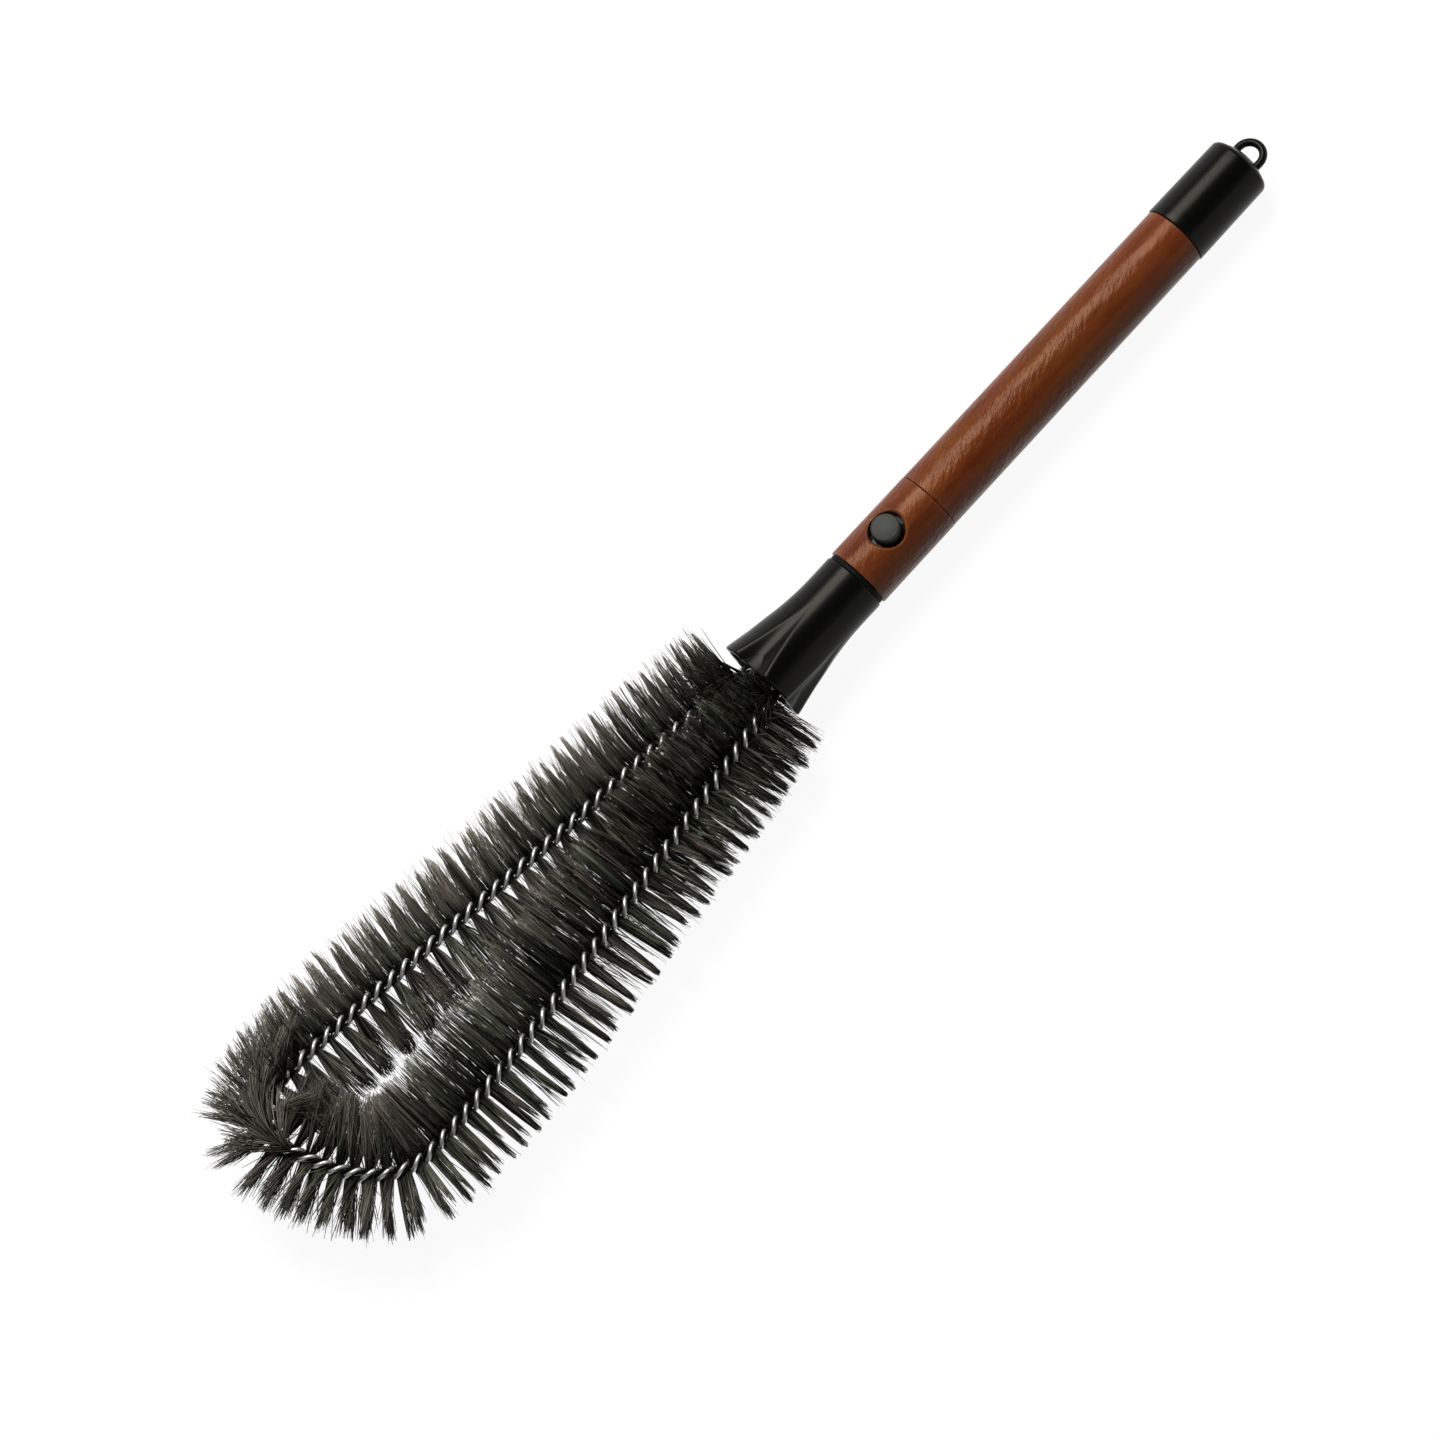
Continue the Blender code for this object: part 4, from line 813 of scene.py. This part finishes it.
# The habits of the hairs outside the loop at places along the wire, in metres from its left end. Widths are in
# millimetres and angles in degrees: half a tuft's width at root and tips, its locks, a lock's width at the tips and its
# swelling between, the lean towards the handle, its change from tuft to tuft and from lock to lock, the bend of the
# tips to the handle, how uneven and pointed the locks are, the numbers of thin and of round-standing single hairs, how
# light the tips are and how much lighter or darker the tuft is
outerHabit = Settings(
    place=(0.036, 0.05, 0.15, 0.228, 0.24, 0.249, 0.257, 0.265, 0.271, 0.283, 0.3, 0.335, 0.372, 0.38, 0.448,
           0.46, 0.53),
    rootHalf=(2.9, 2.9, 2.9, 2.9, 2.9, 2.9, 2.9, 3, 3.2, 3.2, 3.2, 2.5, 2.2, 1.75, 1.75, 2.8, 2.8),
    tipHalf=(3, 3, 3, 3, 3.1, 3.2, 3.4, 3.8, 4.2, 4.4, 4.2, 2.9, 2.3, 1.8, 1.8, 2.9, 2.9),
    locks=(2.4, 2.4, 2.4, 2.4, 2.8, 3.2, 3.6, 4, 4.4, 4.6, 4.4, 2.8, 1.6, 1.5, 1.5, 2.4, 2.6),
    tipWidth=(1.6, 1.6, 1.6, 1.6, 1.7, 1.4, 1.2, 1, 0.8, 0.8, 0.8, 1.2, 2, 1.9, 1.9, 1.8, 1.8),
    swell=(1.4, 1.4, 1.4, 1.4, 1, 0.8, 0.8, 0.8, 0.8, 0.8, 0.8, 0.3, 0.2, 0, 0, 0.8, 0.8),
    lean=(-7, 0, 2.5, 2, 12, 25, 38, 25, 12, 0, 0, 0, 0.5, 1, 1, 2, -3),
    swing=(0, 0, 0, 0, 0, 0, 0, 0, 0, 0.5, 1, 1.5, 2, 2.3, 2.3, 0.5, 0.5),
    loose=(3, 2.6, 2.6, 2.6, 4, 5, 5, 4, 3, 2.5, 2.5, 2.2, 1.5, 1, 1, 2.5, 2.5),
    bend=(2, 3, 3, 2.5, 1.5, 1, 1, 0.5, 0, 0, 0, 0, 0, 0, 0, 0.5, 0.5),
    uneven=(0.18, 0.18, 0.18, 0.18, 0.18, 0.18, 0.18, 0.18, 0.18, 0.2, 0.2, 0.14, 0.08, 0.06, 0.06, 0.08, 0.08),
    pointed=(0.12, 0.12, 0.12, 0.12, 0.12, 0.12, 0.12, 0.12, 0.1, 0.1, 0.1, 0.06, 0.03, 0.02, 0.02, 0.04, 0.04),
    thin=(22, 22, 22, 22, 22, 22, 22, 22, 24, 26, 24, 14, 10, 10, 15, 24, 22),
    round=(40, 22, 9, 9, 9, 9, 9, 9, 9, 9, 9, 9, 9, 9, 9, 9, 16),
    light=(0.8, 0.9, 1, 1, 0.8, 0.6, 0.6, 0.7, 0.8, 0.9, 0.9, 0.7, 0.5, 0.4, 0.4, 0.7, 0.6),
    tone=(-0.14, -0.08, 0.08, 0.08, 0.08, 0.06, 0.06, 0.06, 0.08, 0.1, 0.1, 0.03, 0.02, 0.02, 0.02, -0.06, -0.1))
innerHabit = Settings(  # the same habits inside the loop
    place=(0.036, 0.115, 0.15, 0.255, 0.29, 0.33, 0.345, 0.45, 0.46, 0.545),
    rootHalf=(2.2, 1.2, 0.8, 0.8, 0.8, 1.5, 2.9, 2.9, 2.9, 2.9),
    tipHalf=(3, 4.4, 4.6, 4.6, 3.2, 3.2, 3.6, 3.6, 3.6, 3.4),
    locks=(2.5, 2.6, 2.6, 2.6, 2.5, 2.5, 2.5, 2.5, 2.5, 2.5),
    tipWidth=(4, 5, 5, 5, 3.2, 3.2, 4.6, 4.6, 4.6, 4),
    swell=(1.2, 1.5, 1, 1, 0.5, 0.8, 0.8, 0.8, 0.8, 0.8), lean=(2, 2, 2, 2, 0, 0, 2, 2, 2, 2),
    swing=(0, 1, 1, 1, 0, 0, 0, 0, 0, 0), loose=(4, 3.5, 3, 3, 4, 3, 2, 2, 3, 3), bend=(0,) * 10,
    uneven=(0.08, 0.06, 0.06, 0.06, 0.08, 0.08, 0.06, 0.06, 0.06, 0.06), pointed=(0.06,) * 10,
    thin=(14, 8, 5, 5, 5, 14, 26, 26, 22, 18), round=(40, 5, 1, 1, 1, 8, 16, 16, 12, 24),
    light=(0.2, 0.4, 0.6, 0.6, 0.5, 0.5, 0.5, 0.2, 0.15, 0.1),
    tone=(-0.2, -0.1, 0, -0.04, 0.06, 0.04, 0.02, -0.02, -0.07, -0.13))
# Hairs that lie over the wire: the swirl at the loop's left corner, and those that the ferrule's lip bends aside.
# Negative places count from the wire's right end; the order is how much the headings' range opens along the wire, and
# the roots are set back from the wire and above it
bentAside = Settings(locks=80, order=0.0, spread=5.0, uneven=0.5, sweep=0.0, back=0.0024, above=0.0012)
swirls = (
    Settings(start=0.246, end=0.286, hairs=600, locks=60, lockWidth=0.0008, headings=(24.0, 148.0), order=0.6,
             spread=4.0, lift=(8.0, 22.0), length=0.025, uneven=0.2, arch=0.01, sweep=0.004, back=0.0022,
             above=0.0012, light=0.5, tones=(0.05, 1.0)),
    Settings(bentAside, start=0.037, end=0.051, hairs=190, lockWidth=0.0008, headings=(98.0, 262.0),
             lift=(6.0, 24.0), length=0.023, arch=0.012, light=0.2, tones=(0.0, 0.35)),
    Settings(bentAside, start=-0.0395, end=-0.0368, hairs=150, lockWidth=0.0005, headings=(98.0, 258.0),
             lift=(4.0, 30.0), length=0.017, arch=0.008, light=0.1, tones=(0.0, 0.3)))
riseRate = fullTurn / wire.pitch  # how fast the twist turns the hairs out of the loop's plane
chance = np.random.default_rng(hair.seed)


# How far a hair can reach into the loop: the first step square to the wire that comes within the clearance of
# another stretch of it
def roomInside():
    place = np.arange(0, routeLength, room.step)
    reach = np.arange(room.least, room.most, room.probe)
    centre = routeCentre(place)
    probes = centre[:, None] + reach[None, :, None] * routeAside(place)[:, None]
    apart = np.linalg.norm(probes[:, :, None] - centre[None, None], axis=-1)
    own = np.abs(place[:, None] - place[None]) < room.ownStretch
    near = np.where(own[:, None], room.most, apart).min(2) < room.clearance
    return place, np.where(near.any(1), reach[near.argmax(1)], room.most)


roomPlaces, roomReach = roomInside()


def habitAt(side, place):  # every habit for each side and place; the outer side is -1
    table = Settings()
    for name in outerHabit:
        outer, inner = [np.interp(place, habit.place, habit[name]) for habit in (outerHabit, innerHabit)]
        table[name] = np.where(side < 0, outer, inner)
    return table


def pick(table, index):  # the chosen entries of every row of a table
    return Settings({name: values[index] for name, values in table.items()})


# Hairs in locks. A tuft's locks share out its root and tips evenly and rise by the twist's own turn, -side x offset x
# rise rate, times what the flattened brush keeps of it. Across a lock, v runs from -0.5 to 0.5: its hairs stand
# v x root width apart at the wire and v x tip width at the tips, and the middle ones are longest
def planLocks(side, middle):
    habit = habitAt(side, middle)
    count = np.maximum(1, (habit.locks + chance.random(len(side))).astype(int))
    owner = np.repeat(np.arange(len(side)), count)
    order = np.arange(len(owner)) - np.repeat(np.cumsum(count) - count, count)
    share = (2 * order + 1) / count[owner] - 1
    other = np.where(np.rint(middle / hair.tuftSpacing - 0.5) % 2 > 0, 1.0, -1.0)[owner]
    habit = pick(habit, owner)
    offset = share * habit.rootHalf * millimetre
    tilt = chance.normal(0, hair.lockTilt, len(owner)) - side[owner] * offset * riseRate * hair.flatten
    lean = habit.lean + habit.swing * other + chance.normal(0, 1, len(owner)) * habit.loose
    tipShift = share * habit.tipHalf * millimetre - offset
    tall = 1 - 0.5 * habit.uneven * chance.random(len(owner))
    lock = np.repeat(np.arange(len(owner)), (hair.lockHairs / count[owner]).astype(int))
    habit = pick(habit, lock)
    total = len(lock)
    v = chance.uniform(-0.5, 0.5, total)
    rootWidth = 2 * habit.rootHalf * millimetre / count[owner][lock]
    strand = ((v + 0.5) * hair.strands).astype(int) % hair.strands
    shade = chance.random((len(owner), hair.strands))[lock, strand]
    uneven = 1 - habit.uneven * chance.random(total) ** hair.shortest
    length = tall[lock] * uneven * (1 - habit.pointed * (2 * v) ** 2)
    return Settings(
        side=side[owner][lock], tuft=owner[lock], place=(middle[owner] + offset)[lock], offset=v * rootWidth,
        elevation=tilt[lock] + chance.normal(0, hair.lockDepth, total), lean=lean[lock],
        sway=tipShift[lock] + v * (habit.tipWidth * millimetre - rootWidth), length=length,
        swell=v * habit.swell * millimetre, bend=habit.bend * millimetre * chance.uniform(*hair.bends, total),
        thick=chance.uniform(*hair.girths, total), tone=hair.strandTone * shade + hair.hairTone * chance.random(total))


# Hairs that stand alone: they rise by the twist's own turn times the kept share, and lean as the tuft does
def planSingles(side, middle, tuft, kind):
    total = len(side)
    habit = habitAt(side, middle)
    offset = chance.uniform(-0.5, 0.5, total) * hair.tuftSpacing * hair.aloneSpread
    none = np.zeros(total)
    return Settings(
        side=side, tuft=tuft, place=middle + offset, offset=none,
        elevation=chance.normal(0, hair.aloneTilt, total) - side * offset * riseRate * kind.keep,
        lean=habit.lean + chance.normal(0, 1, total) * (habit.loose + hair.aloneLoose), sway=none,
        length=chance.uniform(*kind.lengths, total), swell=none, bend=habit.bend * millimetre,
        thick=chance.uniform(*hair.aloneGirths, total) * kind.thickness, tone=chance.uniform(*kind.tones, total))


# A hair's line is root + t x straight + (t^2 - t) x curve, with t from 0 to 1. Straight is its length along its
# direction, raised out of the loop's plane and leaned to the handle, plus the sway along the wire; curve holds the
# bend of the tips, the swelling of the lock and a small random part
def hairLines(plan):
    along, aside = routeAlong(plan.place), routeAside(plan.place)
    toHandle = np.where(plan.place < hair.corner, -1.0, 1.0)[:, None] * along
    flat = np.cos(plan.elevation)
    radial = (flat * plan.side)[:, None] * aside + np.sin(plan.elevation)[:, None] * upward
    direction = unit(radial + (np.tan(np.radians(plan.lean)) * flat)[:, None] * toHandle)
    outside = hair.reach * (1 + hair.sideShare * radial[:, 1])
    inside = np.minimum(hair.innerReach * (1 + hair.innerSideShare * radial[:, 1]),
                        np.interp(plan.place, roomPlaces, roomReach) / np.maximum(flat, hair.leastFlat))
    length = plan.length * np.where(plan.side < 0, outside, inside)
    root = routeCentre(plan.place + plan.offset) + radial * hair.rootOut
    straight = direction * length[:, None] + plan.sway[:, None] * along
    curve = (plan.bend * flat)[:, None] * toHandle - 4 * plan.swell[:, None] * along
    return root, straight, curve + chance.normal(0, hair.wobble, curve.shape)


# A swirl's hairs, in locks that share a root, a heading and most of a tone, arch over the wire along their headings
def swirlLines(start, end, swirl):
    first, last = [place + routeLength * (place < 0) for place in (swirl.start, swirl.end)]
    low, high = max(start, first), max(start, min(end, last))
    total = int(swirl.hairs * max(0.0, high - low) / (last - first))
    lock = chance.integers(0, swirl.locks, total)
    lockRoot, lockTurn, lockTone = chance.random((3, swirl.locks))[:, lock]
    place = np.clip(low + (high - low) * lockRoot + chance.normal(0, swirl.lockWidth, total), low, max(low, high))
    begin, finish = swirl.headings
    share = lockTurn * (1 - swirl.order * (last - place) / (last - first))
    heading = np.radians(begin + (finish - begin) * share + chance.normal(0, swirl.spread, total))[:, None]
    lift = np.radians(chance.uniform(*swirl.lift, total))[:, None]
    length = swirl.length * (1 - swirl.uneven * chance.random(total))[:, None]
    forward = np.cos(heading) * (1, 0, 0) + np.sin(heading) * (0, 1, 0)
    across = np.cos(heading) * (0, 1, 0) - np.sin(heading) * (1, 0, 0)
    root = routeCentre(place) - swirl.back * forward + swirl.above * upward
    straight = (np.cos(lift) * forward + np.sin(lift) * upward) * length
    curve = -swirl.arch * upward - swirl.sweep * across
    dark, pale = swirl.tones
    tone = dark + (pale - dark) * (hair.lockShade * lockTone + (1 - hair.lockShade) * chance.random(total))
    return root, straight, curve + chance.normal(0, hair.curl, (total, 3)), tone


# Hairs as bars of three sides, which keep most of their thickness until near their tips
def hairBars(root, straight, curve, thick):
    total, steps, sides = len(root), hair.steps, hair.sides
    t = np.linspace(0, 1, steps + 1)
    line = root[:, None] + t[None, :, None] * straight[:, None] + (t ** 2 - t)[None, :, None] * curve[:, None]
    line[..., 2] /= np.maximum(np.abs(line[..., 2]).max(1) / hair.reachUp, 1.0)[:, None]
    girth = hair.hairRadius * np.interp(t, *hair.taper) * thick[:, None]
    direction = unit(straight)
    across = unit(np.cross(direction, np.where(np.abs(direction[:, 2:]) > hair.upright, (1.0, 0, 0), (0, 0, 1.0))))
    over = np.cross(across, direction)
    turn = chance.uniform(0, fullTurn, total)[:, None] + np.arange(sides)[None] / sides * fullTurn
    ring = np.cos(turn)[..., None] * across[:, None] + np.sin(turn)[..., None] * over[:, None]
    points = line[:, :, None] + girth[:, :, None, None] * ring[:, None]
    offsets = (np.arange(total) * (steps + 1) * sides)[:, None, None]
    quads = (gridFaces(steps + 1, sides)[None] + offsets).reshape(-1, 4)
    last = steps * sides
    ends = (np.array([(2, 1, 0), (last, last + 1, last + 2)])[None] + offsets).reshape(-1, 3)
    return points, quads[:, ::-1], ends[:, ::-1]


# The bristles' middles, packed between the wires: a flat band that turns with the twist, square to the two strands
def packedBand(start, end):
    place = np.arange(start, end, hair.bandStep)
    angle = (quarterTurn - riseRate * place)[:, None]
    wide = np.cos(angle) * routeAside(place) + np.sin(angle) * upward
    thin = np.cos(angle) * upward - np.sin(angle) * routeAside(place)
    corners = ((1, 0.2), (0.8, 1), (-0.8, 1), (-1, 0.2), (-1, -0.2), (-0.8, -1), (0.8, -1), (1, -0.2))
    ring = np.stack([across * hair.bandHalfWidth * wide + over * hair.bandHalfThickness * thin
                     for across, over in corners], 1)
    centre = routeCentre(place)
    return closedEnds(centre, centre[:, None] + ring)


# Each point's share of its hair, the tone, hue and fading as the colour "hairData"; the band is plain dark, partly as
# painted shade between the wire's strands, and takes the full painted root shade
def paintHairs(mesh, hairShape, bandCount, tone, hue, fade):
    share = np.linspace(0, 1, hairShape[1])[:, None]
    values = [np.broadcast_to(part, hairShape) for part in (share, np.clip(tone, 0, 1)[:, None, None],
                                                            hue[:, None, None], fade[:, None, None])]
    hairData = join((np.stack(values, -1).reshape(-1, 4), np.tile(hair.bandPaint, (bandCount, 1))))
    colours = mesh.attributes.new("hairData", "FLOAT_COLOR", "POINT")
    colours.data.foreach_set("color", hairData.astype(np.float32).ravel())


# All the hairs of a slice as one mesh: tufts on both sides of the wire, single hairs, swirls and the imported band
def growSlice(index, sliceName):
    count, spacing = len(hair.slices), hair.tuftSpacing
    sliceLength = (routeLength - 2 * hair.first) / count
    start = hair.first + sliceLength * index
    end = start + sliceLength
    early = start - hair.earlyStart * (index == 0)
    late = end + hair.earlyStart * (index == count - 1)
    middles = (np.arange(math.ceil(early / spacing - 0.5), math.ceil(late / spacing - 0.5)) + 0.5) * spacing
    side, middle = np.tile((1.0, -1.0), len(middles)), np.repeat(middles, 2)
    habit = habitAt(side, middle)
    parts = [planLocks(side, middle)]
    for kind, single in singles.items():
        tuft = np.repeat(np.arange(len(side)), habit[kind].astype(int))
        parts.append(planSingles(side[tuft], middle[tuft], tuft, single))
    plan = Settings({name: join([part[name] for part in parts]) for name in parts[0]})
    rootPlace = plan.place + plan.offset
    along = np.minimum(rootPlace, routeLength - rootPlace)
    nearest = np.where(rootPlace > routeLength / 2, hair.firstRight, hair.first)
    inner, rise = plan.side > 0, np.abs(plan.elevation)
    kept = ((along > nearest) | ((inner | (rise > hair.steep)) & (along > hair.firstInside))
            | (inner & (rise < hair.flat) & (along > hair.firstFlat)))
    plan = pick(plan, kept)
    rootShaded = hairLines(plan)
    swept = [swirlLines(early, late, swirl) for swirl in swirls]
    root, straight, curve = [join(lines) for lines in zip(rootShaded, *(lines[:3] for lines in swept))]
    extra = len(root) - len(plan.side)
    points, quads, ends = hairBars(root, straight, curve, join((plan.thick, np.ones(extra))))
    band = packedBand(start + hair.bandEnd, end - hair.bandEnd)
    bandFaces = gridFaces(*band.shape[:2]) + points.size // 3
    allPoints = join((points.reshape(-1, 3), band.reshape(-1, 3)))
    mesh = fillMesh("hair_" + sliceName, allPoints, join((quads, bandFaces)), ends)
    tuftTone, tuftHue = chance.uniform(-hair.tuftTone, hair.tuftTone, len(side)) + habit.tone, chance.random(len(side))
    tone = join([plan.tone + tuftTone[plan.tuft]] + [lines[3] for lines in swept])
    hue = join((tuftHue[plan.tuft], np.full(extra, hair.swirlHue)))
    hue = hair.tuftHue * hue + (1 - hair.tuftHue) * chance.random(len(tone))
    swirlLight = np.repeat([swirl.light for swirl in swirls], [len(lines[0]) for lines in swept])
    fade = join((habit.light[plan.tuft], swirlLight))
    paintHairs(mesh, points.shape[:3], band.size // 3, tone, hue, fade)
    finishPiece(mesh, "bristles_" + sliceName, "bristle", sharpDegrees=0)
    return len(points)


print("bristles:", sum(growSlice(index, name) for index, name in enumerate(hair.slices)), "hairs")


keptFinishes = {"core_plastic": ("head_core", "mouth_plug", "spring_retainer"), "screw": ("plug_screw",),
                "aluminium": ("wire_crimp_left", "wire_crimp_right", "socket_tube")}
for finish, keptNames in keptFinishes.items():
    for keptName in keptNames:
        nodes[keptName].data.materials.clear()
        nodes[keptName].data.materials.append(finishes[finish])
print("inner pieces: finished")
